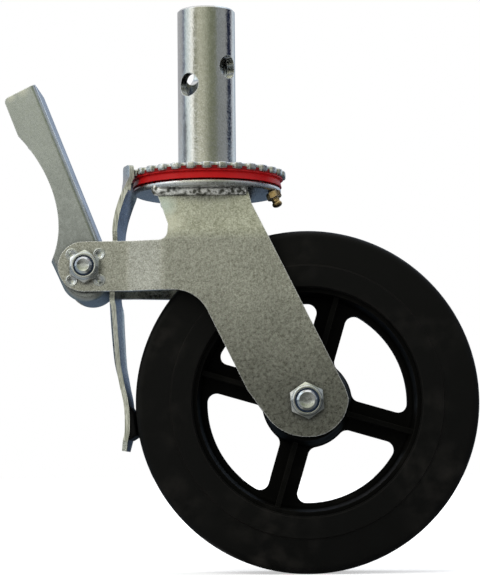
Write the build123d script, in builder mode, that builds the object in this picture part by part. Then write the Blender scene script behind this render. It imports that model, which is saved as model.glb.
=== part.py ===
"""Scaffold castor: tube stem, toothed swivel ring, cam brake lever and a spoked, rubber-tyred wheel.

Millimetres, +Z up. The origin is on the stem's axis at the top of the toothed ring. -Y is the side with the
lock nuts, the wheel trails towards +X and the arm with the brake lever reaches towards -X.
"""

import math
import os

from build123d import *

# Stem
STEM_D = 34.9
STEM_WALL = 4.8
STEM_LENGTH = 98.9
STEM_CHAMFER = 1.0
LOCK_HOLE_D = 14.0
LOWER_HOLE_HEIGHT = 51.7
LOWER_HOLE_TURN = 233.0
UPPER_HOLE_HEIGHT = 62.7
UPPER_HOLE_TURN = 323.0
STEM_SEAM_TURN = 0.5

# Swivel
RING_D = 95.0
RING_THICK = 4.0
TOOTH_COUNT = 31
TOOTH_GAP_D = 4.4
TOOTH_DEPTH = 2.6
TOOTH_TIP_ROUND = 1.4
FIRST_GAP_TURN = 266.6
PLATE_INSET = 3.0
PLATE_THICK = 4.0
PLATE_RIM_ROUND = 1.8
UPPER_BALL_D = 7.14
UPPER_BALL_COUNT = 20
UPPER_RACE_INSET = 13.5
LOWER_BALL_D = 6.35
LOWER_BALL_COUNT = 12
LOWER_RACE_R = 17.0
LOWER_RACE_D = 46.0
LOWER_RACE_THICK = 4.0
RACE_DEPTH = 0.8
KING_BOLT_D = 14.0
KING_HEAD_FLATS = 21.0
KING_HEAD_HEIGHT = 9.0
KING_NUT_HEIGHT = 11.0
KING_TIP = 2.0
SEAL_INSET = 3.5
SEAL_FLARE = 1.0
SEAL_WALL = 1.6
SEAL_FLANGE = 1.6
SEAL_FLANGE_THICK = 0.9
SEAL_GROOVE = 2.0

# Fork
LEG_THICK = 5.0
LEG_SPREAD = 60.0
ARM_SPREAD = 48.0
NECK_SPREAD = 50.0
JOGGLE_START = 25.0
JOGGLE_END = 45.7
JOGGLE_ROUND = 12.0
JOGGLE_LAP = 2.0
LEAN_START = 41.0
LEAN_ROUND = 30.0
SHEET_SPARE = 5.0
NECK_LEFT = 29.3
NECK_RIGHT = 25.0
NECK_WAIST = 21.8
NECK_WAIST_DROP = 34.7
NECK_CORNER = 22.6
NECK_CORNER_ROUND = 5.0
NECK_LAP = 9.0
ARM_WIDTH = 29.5
ARM_DROP = 44.0
ARM_REACH = 87.4
ARM_ROOT = 5.0
ARM_ROOT_ROUND = 22.0
LEG_END_R = 22.5
LEG_END_X = 1.6
LEG_END_RISE = 1.7
LEG_FOOT_X = 2.0
LEG_BELLY_X = 13.4
LEG_BELLY_DROP = 20.25
LEG_CALF_X = 23.3
LEG_CALF_DROP = 13.05
LEG_KNEE_X = 24.3
LEG_KNEE_DROP = 133.2
LEG_HEEL_X = 81.2
LEG_HEEL_DROP = 132.0
LEG_HEEL_ROUND = 7.5
LEG_SHOULDER_X = 27.5
LEG_SHOULDER_DROP = 22.9
WELD_WIDTH = 5.5
WELD_DROP = 5.0
WELD_FULLNESS = 0.72
WELD_OVERRUN_LEFT = 3.7
WELD_OVERRUN_RIGHT = 1.0
NIPPLE_FLATS = 8.0
NIPPLE_INSET = 5.3
NIPPLE_TURN = -21.0
NIPPLE_TILT = 68.0
NIPPLE_STANDOFF = 0.9
NIPPLE_THREAD_D = 4.8
NIPPLE_THREAD = 2.8
NIPPLE_NECK_D = 6.4
NIPPLE_NECK = 2.8
NIPPLE_NECK_TAPER = 18.0
NIPPLE_HEAD_D = 5.8
NIPPLE_HEAD = 3.6
NIPPLE_HEAD_TAPER = 12.0

# Wheel
AXLE_TRAIL = 59.0
AXLE_DROP = 139.7
AXLE_D = 12.0
AXLE_NUT_FLATS = 19.0
AXLE_NUT_HEIGHT = 12.0
AXLE_HEAD_HEIGHT = 7.5
BOLT_TIP = 3.0
BOLT_CHAMFER = 0.9
NUT_HEX_SHARE = 0.7
NUT_COLLAR_SHARE = 0.46
NUT_COLLAR_ROUND = 1.1
INSERT_R_SHARE = 0.58
INSERT_HEIGHT_SHARE = 0.22
SLEEVE_D = 22.0
TYRE_D = 203.2
TYRE_WIDTH = 50.8
TYRE_BAND_D = 161.0
TYRE_BAND_STEP = 1.0
TYRE_LIP = 2.5
TYRE_SHOULDER = 4.5
RIM_D = 140.0
RIM_WIDTH = 42.0
RIM_WALL = 5.0
RIM_DRAFT = 2.0
WINDOW_INSET = 10.0
WINDOW_INNER_D = 54.0
WINDOW_ROUND = 5.5
SPOKE_COUNT = 4
SPOKE_WIDTH = 18.0
SPOKE_TURN = -16.3
WEB_THICK = 9.0
RIB_THICK = 3.0
RIB_HEIGHT = 11.0
RIB_LAP = 2.0
HUB_D = 46.0
HUB_FOOT_D = 53.0
HUB_LENGTH = 55.0
ROLLER_D = 5.0
ROLLER_COUNT = 12
ROLLER_LENGTH = 40.0
CAGE_WALL = 2.2
CAGE_LENGTH = 48.0
HUB_WASHER_D = 38.0

# Brake
PIVOT_REACH = 71.0
PIVOT_DROP = 59.3
PIVOT_D = 10.0
PIVOT_NUT_FLATS = 17.0
PIVOT_NUT_HEIGHT = 11.0
PIVOT_HEAD_HEIGHT = 6.4
PIVOT_SLEEVE_D = 16.0
DIMPLE_D = 4.5
DIMPLE_DEPTH = 1.1
DIMPLE_PITCH_X = 16.4
DIMPLE_PITCH_Z = 15.4
CAM_R = 15.0
CAM_OFFSET_X = -0.7
CAM_OFFSET_Z = -4.8
LEVER_SHEET = 3.2
LEVER_LENGTH = 117.0
LEVER_TIP_RISE = 1.6
LEVER_LEAN = 21.7
LEVER_TIP_WIDTH = 20.8
LEVER_FOLD_ROUND = 3.0
WRAP_END_TURN = 250.0
LEVER_HEEL_UP = 16.0
LEVER_HEEL_DEPTH = 30.8
LEVER_HIP_UP = 30.0
LEVER_HIP_DEPTH = 20.5
LEVER_WAIST_UP = 60.2
LEVER_WAIST_DEPTH = 14.2
LEVER_FLARE_UP = 93.2
LEVER_FLARE_DEPTH = 20.9
WRAP_START_TURN = 207.0
STRAP_THICK = 3.2
STRAP_WIDTH = 56.0
STRAP_WAIST_GAP = 0.6
STRAP_BELLY_DROP = 100.0
STRAP_FOOT_WIDTH = 38.0
STRAP_FOOT_RISE = 18.0
STRAP_TOE_WIDTH = 26.0
STRAP_TOE_RISE = 6.0
STRAP_TOE = 6.6
SHOULDER_EASE = 4.0
EAR_INSET = 22.0
EAR_BEND_DROP = 38.5
EAR_BEND = 0.7
EAR_LEAN = 7.6
NOTCH_DROP = 7.5
PRONG_SPREAD = 28.0
PRONG_WIDTH = 6.0
PRONG_DEPTH = 4.3
PRONG_HEIGHT = 3.3
PRONG_LAP = 3.0
PAD_WIDTH = 32.0
PAD_THICK = 2.3
PAD_TOP_DROP = 141.0
PAD_LENGTH = 20.0
RIVET_D = 4.0
RIVET_HEAD_D = 8.0
RIVET_HEAD_TAPER = 30.0
RIVET_PITCH = 18.0

# Clearances
BOLT_CLEARANCE = 0.2
RUNNING_CLEARANCE = 0.07
BALL_CLEARANCE = 0.3
SIDE_CLEARANCE = 0.3
SEAL_CLEARANCE = 0.3
BRAKE_GAP = 1.2
CAM_GAP = 0.3
SHOULDER_GAP = 1.5

# Places worked out from the sizes
plate_top = -RING_THICK - UPPER_BALL_D + 2 * RACE_DEPTH
plate_foot = plate_top - PLATE_THICK
upper_ball_z = -RING_THICK + RACE_DEPTH - UPPER_BALL_D / 2
lower_ball_z = plate_foot + RACE_DEPTH - LOWER_BALL_D / 2
lower_race_top = plate_foot - LOWER_BALL_D + 2 * RACE_DEPTH
lower_race_foot = lower_race_top - LOWER_RACE_THICK
leg_outer = LEG_SPREAD / 2 + LEG_THICK
arm_outer = ARM_SPREAD / 2 + LEG_THICK
neck_outer = NECK_SPREAD / 2 + LEG_THICK
lever_half = ARM_SPREAD / 2 - DIMPLE_DEPTH - SIDE_CLEARANCE
cam_x = -PIVOT_REACH + CAM_OFFSET_X
cam_z = -PIVOT_DROP + CAM_OFFSET_Z
roller_r = SLEEVE_D / 2 + SIDE_CLEARANCE + ROLLER_D / 2
hub_bore_r = roller_r + ROLLER_D / 2 + RUNNING_CLEARANCE
tooth_gap_r = RING_D / 2 + TOOTH_GAP_D / 2 - TOOTH_DEPTH
upper_race_r = RING_D / 2 - UPPER_RACE_INSET
seal_r = RING_D / 2 - SEAL_INSET
plate_r = RING_D / 2 - PLATE_INSET
rim_inner_r = RIM_D / 2 - RIM_WALL
tyre_bore_r = RIM_D / 2 - TYRE_LIP
window_outer_r = RIM_D / 2 - WINDOW_INSET
ring_foot = Plane.XY.offset(-RING_THICK)
axle_plane = Plane((AXLE_TRAIL, 0, -AXLE_DROP), x_dir=(1, 0, 0), z_dir=(0, -1, 0))
pivot_plane = Plane((-PIVOT_REACH, 0, -PIVOT_DROP), x_dir=(1, 0, 0), z_dir=(0, -1, 0))
wheel_section = Plane((AXLE_TRAIL, 0, -AXLE_DROP), x_dir=(1, 0, 0), z_dir=(0, 0, 1))
axle_line = Axis((AXLE_TRAIL, 0, -AXLE_DROP), (0, 1, 0))


def ball_row(diameter, count, race_r, z):
    """A ring of separate balls with their centres at height z."""
    with BuildPart() as row:
        with PolarLocations(race_r, count):
            with Locations((0, 0, z)):
                Sphere(diameter / 2)
    return row


def ball_track(race_r, z, radius):
    """The round track that a row of balls runs in, as a solid to cut away."""
    with BuildPart() as track:
        with BuildSketch(Plane.XZ):
            with Locations((race_r, z)):
                Circle(radius)
        revolve(axis=Axis.Z)
    return track


def hex_bolt(plane, shank_d, flats, head_height, head_seat, tip):
    """A bolt across the fork: its head bears at head_seat on the far side, its tip is on the near side."""
    with BuildPart() as bolt:
        with BuildSketch(plane.offset(-head_seat)):
            RegularPolygon(flats / 2, 6, major_radius=False)
        extrude(amount=-head_height)
        with BuildSketch(plane.offset(-head_seat)):
            Circle(shank_d / 2)
        extrude(amount=head_seat + tip)
        chamfer(bolt.faces().sort_by(Axis.Y)[0].edges(), BOLT_CHAMFER)
        chamfer(bolt.faces().sort_by(Axis.Y)[-1].edges(), BOLT_CHAMFER)
    return bolt


def lock_nut(plane, bolt_d, flats, height, seat):
    """A hexagonal nut on the near side with a round collar that holds a plastic ring."""
    hex_height = height * NUT_HEX_SHARE
    with BuildPart() as nut:
        with BuildSketch(plane.offset(seat)):
            RegularPolygon(flats / 2, 6, major_radius=False)
            Circle(bolt_d / 2, mode=Mode.SUBTRACT)
        extrude(amount=hex_height)
        with BuildSketch(plane.offset(seat + hex_height)):
            Circle(flats * NUT_COLLAR_SHARE)
            Circle(bolt_d * INSERT_R_SHARE, mode=Mode.SUBTRACT)
        extrude(amount=height - hex_height)
        collar_face = nut.faces().sort_by(Axis.Y)[0]
        fillet(collar_face.outer_wire().edges(), NUT_COLLAR_ROUND)
    return nut


def nut_insert(plane, bolt_d, height, seat):
    """The plastic ring in a lock nut's collar, a little below its rim."""
    with BuildPart() as ring:
        with BuildSketch(plane.offset(seat + height * NUT_HEX_SHARE)):
            Circle(bolt_d * INSERT_R_SHARE)
            Circle(bolt_d / 2, mode=Mode.SUBTRACT)
        extrude(amount=height * INSERT_HEIGHT_SHARE)
    return ring


def tube_across(plane, outer_d, inner_d, half_length):
    """A tube centred on the plane, along its normal."""
    with BuildPart() as tube:
        with BuildSketch(plane):
            Circle(outer_d / 2)
            Circle(inner_d / 2, mode=Mode.SUBTRACT)
        extrude(amount=half_length, both=True)
    return tube


# Stem tube with two cross holes at right angles
with BuildPart() as stem_tube:
    with BuildSketch(Plane.XY.rotated((0, 0, STEM_SEAM_TURN))):
        Circle(STEM_D / 2)
        Circle(STEM_D / 2 - STEM_WALL, mode=Mode.SUBTRACT)
    extrude(amount=STEM_LENGTH)
    rim = stem_tube.faces().sort_by(Axis.Z)[-1]
    chamfer(rim.outer_wire().edges(), STEM_CHAMFER)
    for height, turn in ((LOWER_HOLE_HEIGHT, LOWER_HOLE_TURN), (UPPER_HOLE_HEIGHT, UPPER_HOLE_TURN)):
        across = (math.cos(math.radians(turn)), math.sin(math.radians(turn)), 0)
        with BuildSketch(Plane((0, 0, height), z_dir=across)):
            Circle(LOCK_HOLE_D / 2)
        extrude(amount=STEM_D, both=True, mode=Mode.SUBTRACT)

# Tracks for the two rows of balls: free of the held side, touching the swivelling side
upper_track_r = UPPER_BALL_D / 2 + BALL_CLEARANCE
lower_track_r = LOWER_BALL_D / 2 + BALL_CLEARANCE
ring_track = ball_track(upper_race_r, upper_ball_z, upper_track_r)
plate_top_track = ball_track(upper_race_r, upper_ball_z + BALL_CLEARANCE, upper_track_r)
plate_foot_track = ball_track(LOWER_RACE_R, lower_ball_z - BALL_CLEARANCE, lower_track_r)
lower_track = ball_track(LOWER_RACE_R, lower_ball_z, lower_track_r)

# Toothed swivel ring, one plate with the stem's seat and a groove that opens into the tooth gaps
with BuildPart() as ratchet_ring:
    with BuildSketch(ring_foot) as ring_outline:
        Circle(RING_D / 2)
        with PolarLocations(tooth_gap_r, TOOTH_COUNT, start_angle=FIRST_GAP_TURN):
            Circle(TOOTH_GAP_D / 2, mode=Mode.SUBTRACT)
        fillet(ring_outline.vertices(), TOOTH_TIP_ROUND)
        Circle(KING_BOLT_D / 2, mode=Mode.SUBTRACT)
    extrude(amount=RING_THICK)
    add(ring_track.part, mode=Mode.SUBTRACT)
    with BuildSketch(ring_foot):
        Circle(seal_r + SEAL_FLANGE)
        Circle(seal_r - SEAL_WALL, mode=Mode.SUBTRACT)
    extrude(amount=SEAL_GROOVE, mode=Mode.SUBTRACT)

# Bolt, nut and cup that hold the swivel together
with BuildPart() as king_bolt:
    with BuildSketch(Plane.XY.offset(lower_race_foot)):
        RegularPolygon(KING_HEAD_FLATS / 2, 6, major_radius=False)
    extrude(amount=-KING_HEAD_HEIGHT)
    with BuildSketch(Plane.XY.offset(lower_race_foot)):
        Circle(KING_BOLT_D / 2)
    extrude(amount=KING_NUT_HEIGHT + KING_TIP - lower_race_foot)
    chamfer(king_bolt.faces().sort_by(Axis.Z)[-1].edges(), STEM_CHAMFER)

with BuildPart() as king_nut:
    with BuildSketch():
        RegularPolygon(KING_HEAD_FLATS / 2, 6, major_radius=False)
        Circle(KING_BOLT_D / 2, mode=Mode.SUBTRACT)
    extrude(amount=KING_NUT_HEIGHT)

with BuildPart() as lower_race:
    with BuildSketch(Plane.XY.offset(lower_race_foot)):
        Circle(LOWER_RACE_D / 2)
        Circle(KING_BOLT_D / 2, mode=Mode.SUBTRACT)
    extrude(amount=LOWER_RACE_THICK)
    add(lower_track.part, mode=Mode.SUBTRACT)

# Red seal: a flange in the ring's groove and a skirt that flares down to the plate
with BuildPart() as dust_seal:
    with BuildSketch(Plane.XZ):
        with BuildLine():
            Polyline(
                (seal_r - SEAL_WALL, -RING_THICK + SEAL_GROOVE),
                (seal_r + SEAL_FLANGE, -RING_THICK + SEAL_GROOVE),
                (seal_r + SEAL_FLANGE, -RING_THICK - SEAL_FLANGE_THICK),
                (seal_r, -RING_THICK - SEAL_FLANGE_THICK),
                (seal_r + SEAL_FLARE, plate_top + SEAL_CLEARANCE),
                (seal_r + SEAL_FLARE - SEAL_WALL, plate_top + SEAL_CLEARANCE),
                close=True,
            )
        make_face()
    revolve(axis=Axis.Z)

# Bearing plate between the two rows of balls, with a tapped hole for the grease nipple
nipple_aim = Vector(1, 0, 0).rotate(Axis.Y, NIPPLE_TILT).rotate(Axis.Z, NIPPLE_TURN)
nipple_seat = Vector(RING_D / 2 - NIPPLE_INSET, 0, plate_foot).rotate(Axis.Z, NIPPLE_TURN)
nipple_plane = Plane(nipple_seat + nipple_aim * NIPPLE_STANDOFF, z_dir=nipple_aim)

with BuildPart() as bearing_plate:
    with BuildSketch(Plane.XY.offset(plate_foot)):
        Circle(plate_r)
    extrude(amount=PLATE_THICK)
    fillet(bearing_plate.edges().filter_by(GeomType.CIRCLE), PLATE_RIM_ROUND)
    with BuildSketch(Plane.XY.offset(plate_foot)):
        Circle(KING_BOLT_D / 2 + RUNNING_CLEARANCE)
    extrude(amount=PLATE_THICK, mode=Mode.SUBTRACT)
    add(plate_top_track.part, mode=Mode.SUBTRACT)
    add(plate_foot_track.part, mode=Mode.SUBTRACT)
    with BuildSketch(nipple_plane):
        Circle(NIPPLE_THREAD_D / 2)
    extrude(amount=PLATE_THICK, both=True, mode=Mode.SUBTRACT)

upper_balls = ball_row(UPPER_BALL_D, UPPER_BALL_COUNT, upper_race_r, upper_ball_z)
lower_balls = ball_row(LOWER_BALL_D, LOWER_BALL_COUNT, LOWER_RACE_R, lower_ball_z)

# Grease nipple: threaded shank, hexagon, neck and round head
with BuildPart() as grease_nipple:
    with BuildSketch(nipple_plane.offset(-NIPPLE_THREAD)):
        Circle(NIPPLE_THREAD_D / 2)
    extrude(amount=NIPPLE_THREAD)
    with BuildSketch(nipple_plane):
        RegularPolygon(NIPPLE_FLATS / 2, 6, major_radius=False)
    extrude(amount=NIPPLE_FLATS / 2)
    with BuildSketch(nipple_plane.offset(NIPPLE_FLATS / 2)):
        Circle(NIPPLE_NECK_D / 2)
    extrude(amount=NIPPLE_NECK, taper=NIPPLE_NECK_TAPER)
    with BuildSketch(nipple_plane.offset(NIPPLE_FLATS / 2 + NIPPLE_NECK)):
        Circle(NIPPLE_HEAD_D / 2)
    extrude(amount=NIPPLE_HEAD, taper=NIPPLE_HEAD_TAPER)

# One bent sheet for a leg: straight at the axle, leaned in at the neck, joggled in along the arm
bend_x = -JOGGLE_START + JOGGLE_LAP
sheet_y = -(leg_outer - LEG_THICK / 2)
arm_y = -(arm_outer - LEG_THICK / 2)
neck_y = -(neck_outer - LEG_THICK / 2)
lean_slope = (neck_y - sheet_y) / (plate_foot + LEAN_START)
neck_split = -ARM_DROP + NECK_LAP

with BuildPart() as leg_sheet:
    with BuildSketch(Plane.YZ.offset(bend_x)):
        with BuildLine():
            FilletPolyline(
                (sheet_y, -AXLE_DROP - 2 * LEG_END_R),
                (sheet_y, -LEAN_START),
                (neck_y + lean_slope * SHEET_SPARE, plate_foot + SHEET_SPARE),
                radius=LEAN_ROUND,
            )
        trace(line_width=LEG_THICK)
    extrude(amount=AXLE_TRAIL + 2 * LEG_END_R - bend_x)
    with BuildSketch(Plane.YZ.offset(-ARM_REACH)):
        with BuildLine():
            Line(
                (sheet_y + lean_slope * (neck_split + LEAN_START), neck_split),
                (neck_y + lean_slope * SHEET_SPARE, plate_foot + SHEET_SPARE),
            )
        trace(line_width=LEG_THICK)
    extrude(amount=ARM_REACH + bend_x)
    with BuildSketch(Plane.XY.offset(neck_split)):
        with BuildLine():
            FilletPolyline(
                (bend_x, sheet_y),
                (-JOGGLE_START, sheet_y),
                (-JOGGLE_END, arm_y),
                (-ARM_REACH - SHEET_SPARE, arm_y),
                radius=JOGGLE_ROUND,
            )
        trace(line_width=LEG_THICK)
    extrude(amount=-(ARM_WIDTH + ARM_DROP))

# Near leg: the side outline cut out of the bent sheet
arm_end_r = ARM_WIDTH / 2
arm_foot = -(ARM_DROP + ARM_WIDTH)
end_x = AXLE_TRAIL + LEG_END_X
end_z = -AXLE_DROP + LEG_END_RISE
end_slant = LEG_END_R * math.sqrt(0.5)

with BuildPart() as fork_leg_near:
    with BuildSketch(Plane.XZ) as leg_outline:
        with BuildLine():
            neck_line = Polyline(
                (-ARM_REACH + arm_end_r, -ARM_DROP),
                (-NECK_CORNER, -ARM_DROP),
                (-NECK_WAIST, -NECK_WAIST_DROP),
                (-NECK_LEFT, plate_foot),
                (NECK_RIGHT, plate_foot),
                (LEG_SHOULDER_X, -LEG_SHOULDER_DROP),
                (LEG_HEEL_X, -LEG_HEEL_DROP),
                (end_x + LEG_END_R, end_z),
            )
            ThreePointArc(
                neck_line @ 1,
                (end_x + end_slant, end_z - end_slant),
                (end_x - LEG_FOOT_X, end_z - LEG_END_R),
            )
            ThreePointArc(
                (end_x - LEG_FOOT_X, end_z - LEG_END_R),
                (end_x - LEG_BELLY_X, end_z - LEG_BELLY_DROP),
                (end_x - LEG_CALF_X, end_z - LEG_CALF_DROP),
            )
            knee_line = Polyline(
                (end_x - LEG_CALF_X, end_z - LEG_CALF_DROP),
                (LEG_KNEE_X, -LEG_KNEE_DROP),
                (-ARM_ROOT, arm_foot),
                (-ARM_REACH + arm_end_r, arm_foot),
            )
            ThreePointArc(
                knee_line @ 1,
                (-ARM_REACH, arm_foot + arm_end_r),
                (-ARM_REACH + arm_end_r, -ARM_DROP),
            )
        make_face()
        root = leg_outline.vertices().sort_by_distance((-ARM_ROOT, arm_foot))[0]
        fillet(root, ARM_ROOT_ROUND)
        corner = leg_outline.vertices().sort_by_distance((-NECK_CORNER, -ARM_DROP))[0]
        fillet(corner, NECK_CORNER_ROUND)
        heel = leg_outline.vertices().sort_by_distance((LEG_HEEL_X, -LEG_HEEL_DROP))[0]
        fillet(heel, LEG_HEEL_ROUND)
    extrude(amount=LEG_SPREAD)
    add(leg_sheet.part, mode=Mode.INTERSECT)
    with BuildSketch(axle_plane):
        Circle(AXLE_D / 2 + BOLT_CLEARANCE)
    extrude(amount=LEG_SPREAD, mode=Mode.SUBTRACT)
    with BuildSketch(pivot_plane):
        Circle(PIVOT_D / 2 + BOLT_CLEARANCE)
    extrude(amount=LEG_SPREAD, mode=Mode.SUBTRACT)
    with BuildSketch(pivot_plane.offset(arm_outer)):
        with GridLocations(DIMPLE_PITCH_X, DIMPLE_PITCH_Z, 2, 2):
            Circle(DIMPLE_D / 2)
    extrude(amount=-DIMPLE_DEPTH, mode=Mode.SUBTRACT)
    with BuildSketch(pivot_plane.offset(ARM_SPREAD / 2)):
        with GridLocations(DIMPLE_PITCH_X, DIMPLE_PITCH_Z, 2, 2):
            Circle(DIMPLE_D / 2)
    extrude(amount=-DIMPLE_DEPTH)

with BuildPart() as fork_leg_far:
    mirror(fork_leg_near.part, about=Plane.XZ)



def weld_bead(left, right):
    """A bead in the corner between the near leg's outside and the bearing plate, from left to right."""
    with BuildPart() as bead:
        with BuildSketch(Plane.YZ.offset(left)):
            with BuildLine():
                ThreePointArc(
                    (-neck_outer - WELD_WIDTH, plate_foot),
                    (-neck_outer - WELD_WIDTH * WELD_FULLNESS, plate_foot - WELD_DROP * WELD_FULLNESS),
                    (-neck_outer, plate_foot - WELD_DROP),
                )
                Polyline(
                    (-neck_outer, plate_foot - WELD_DROP),
                    (-neck_outer, plate_foot),
                    (-neck_outer - WELD_WIDTH, plate_foot),
                )
            make_face()
        extrude(amount=right - left)
        add(fork_leg_near.part, mode=Mode.SUBTRACT)
    return bead


# Weld beads under the bearing plate: the near one runs past the leg, the far one ends with it
near_bead = weld_bead(-NECK_LEFT - WELD_OVERRUN_LEFT, NECK_RIGHT + WELD_OVERRUN_RIGHT)
far_bead = weld_bead(-NECK_LEFT, NECK_RIGHT)

with BuildPart() as leg_welds:
    add(near_bead.part)
    mirror(far_bead.part, about=Plane.XZ)

# Axle: bolt, lock nut, spacer sleeve and thrust washers
axle_tip = leg_outer + AXLE_NUT_HEIGHT + BOLT_TIP
axle_bolt = hex_bolt(axle_plane, AXLE_D, AXLE_NUT_FLATS, AXLE_HEAD_HEIGHT, leg_outer, axle_tip)
axle_nut = lock_nut(axle_plane, AXLE_D, AXLE_NUT_FLATS, AXLE_NUT_HEIGHT, leg_outer)
axle_nut_insert = nut_insert(axle_plane, AXLE_D, AXLE_NUT_HEIGHT, leg_outer)
axle_sleeve = tube_across(axle_plane, SLEEVE_D, AXLE_D + 2 * BOLT_CLEARANCE, LEG_SPREAD / 2)

with BuildPart() as hub_washers:
    with BuildSketch(axle_plane.offset(HUB_LENGTH / 2 + SIDE_CLEARANCE)):
        Circle(HUB_WASHER_D / 2)
        Circle(SLEEVE_D / 2, mode=Mode.SUBTRACT)
    extrude(amount=LEG_SPREAD / 2 - HUB_LENGTH / 2 - SIDE_CLEARANCE)
    mirror(hub_washers.part, about=Plane.XZ)

# Cast wheel: hub, web with four windows, a rib on each spoke, and the rim under the rubber
with BuildPart() as wheel_core:
    with BuildSketch(wheel_section) as core_section:
        with BuildLine():
            Polyline(
                (hub_bore_r, 0),
                (hub_bore_r, HUB_LENGTH / 2),
                (HUB_D / 2, HUB_LENGTH / 2),
                (HUB_FOOT_D / 2, WEB_THICK / 2),
                (rim_inner_r - RIM_DRAFT, WEB_THICK / 2),
                (rim_inner_r, RIM_WIDTH / 2),
                (RIM_D / 2, RIM_WIDTH / 2),
                (RIM_D / 2, 0),
                close=True,
            )
        make_face()
        foot = core_section.vertices().sort_by_distance((HUB_FOOT_D / 2, WEB_THICK / 2))[0]
        rim_root = core_section.vertices().sort_by_distance((rim_inner_r - RIM_DRAFT, WEB_THICK / 2))[0]
        fillet([foot, rim_root], WEB_THICK / 3)
        mirror(about=Plane.XZ)
    revolve(axis=axle_line)
    with BuildSketch(axle_plane) as windows:
        Circle(window_outer_r)
        Circle(WINDOW_INNER_D / 2, mode=Mode.SUBTRACT)
        with Locations(Rotation(0, 0, SPOKE_TURN)):
            Rectangle(2 * window_outer_r, SPOKE_WIDTH, mode=Mode.SUBTRACT)
            Rectangle(SPOKE_WIDTH, 2 * window_outer_r, mode=Mode.SUBTRACT)
        fillet(windows.vertices(), WINDOW_ROUND)
    extrude(amount=HUB_LENGTH / 2, both=True, mode=Mode.SUBTRACT)
    with BuildSketch(axle_plane):
        with PolarLocations((HUB_D / 2 + rim_inner_r) / 2, SPOKE_COUNT, start_angle=SPOKE_TURN):
            Rectangle(rim_inner_r - HUB_D / 2 + RIB_LAP, RIB_THICK)
    extrude(amount=WEB_THICK / 2 + RIB_HEIGHT, both=True)

# Moulded tyre: tread, rounded shoulders, a raised inner band and a lip over the rim's edge
with BuildPart() as tyre:
    with BuildSketch(wheel_section) as tyre_section:
        with BuildLine():
            Polyline(
                (RIM_D / 2, 0),
                (RIM_D / 2, RIM_WIDTH / 2),
                (tyre_bore_r, RIM_WIDTH / 2),
                (tyre_bore_r, TYRE_WIDTH / 2 - TYRE_BAND_STEP),
                (tyre_bore_r + TYRE_BAND_STEP, TYRE_WIDTH / 2),
                (TYRE_BAND_D / 2, TYRE_WIDTH / 2),
                (TYRE_BAND_D / 2 + TYRE_BAND_STEP / 2, TYRE_WIDTH / 2 - TYRE_BAND_STEP),
                (TYRE_D / 2, TYRE_WIDTH / 2 - 2 * TYRE_BAND_STEP),
                (TYRE_D / 2, 0),
                close=True,
            )
        make_face()
        shoulder = tyre_section.vertices().sort_by_distance((TYRE_D / 2, TYRE_WIDTH / 2))[0]
        fillet(shoulder, TYRE_SHOULDER)
        mirror(about=Plane.XZ)
    revolve(axis=axle_line)

# Roller bearing inside the hub
with BuildPart() as hub_rollers:
    with BuildSketch(axle_plane):
        with PolarLocations(roller_r, ROLLER_COUNT):
            Circle(ROLLER_D / 2)
    extrude(amount=ROLLER_LENGTH / 2, both=True)

with BuildPart() as roller_cage:
    with BuildSketch(axle_plane):
        Circle(roller_r + CAGE_WALL / 2)
        Circle(roller_r - CAGE_WALL / 2, mode=Mode.SUBTRACT)
    extrude(amount=CAGE_LENGTH / 2, both=True)
    with BuildSketch(axle_plane):
        with PolarLocations(roller_r, ROLLER_COUNT):
            Circle(ROLLER_D / 2 + RUNNING_CLEARANCE)
    extrude(amount=ROLLER_LENGTH / 2 + RUNNING_CLEARANCE, both=True, mode=Mode.SUBTRACT)

# Pivot: bolt, lock nut and the sleeve that the lever turns on
pivot_tip = arm_outer + PIVOT_NUT_HEIGHT + BOLT_TIP
pivot_bolt = hex_bolt(pivot_plane, PIVOT_D, PIVOT_NUT_FLATS, PIVOT_HEAD_HEIGHT, arm_outer, pivot_tip)
pivot_nut = lock_nut(pivot_plane, PIVOT_D, PIVOT_NUT_FLATS, PIVOT_NUT_HEIGHT, arm_outer)
pivot_nut_insert = nut_insert(pivot_plane, PIVOT_D, PIVOT_NUT_HEIGHT, arm_outer)
pivot_sleeve = tube_across(pivot_plane, PIVOT_SLEEVE_D, PIVOT_D + 2 * BOLT_CLEARANCE, ARM_SPREAD / 2)

# Cam lever folded from one sheet: two cheeks, a web towards the strap, and a wrap round the cam
lean = math.radians(LEVER_LEAN)
web_out = Vector(math.cos(lean), 0, math.sin(lean))
web_up = Vector(-math.sin(lean), 0, math.cos(lean))
cam_centre = Vector(cam_x, 0, cam_z)


def lever_point(up, inward):
    """A point of the side view, measured up from the cam along the web and in from its outer face."""
    place = cam_centre + web_up * up + web_out * (CAM_R - inward)
    return (place.X, place.Z)


def wrap_point(turn, reach):
    """A point of the side view at a turn and a reach from the cam's centre."""
    place = cam_centre + Vector(reach, 0, 0).rotate(Axis.Y, -turn)
    return (place.X, place.Z)


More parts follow.
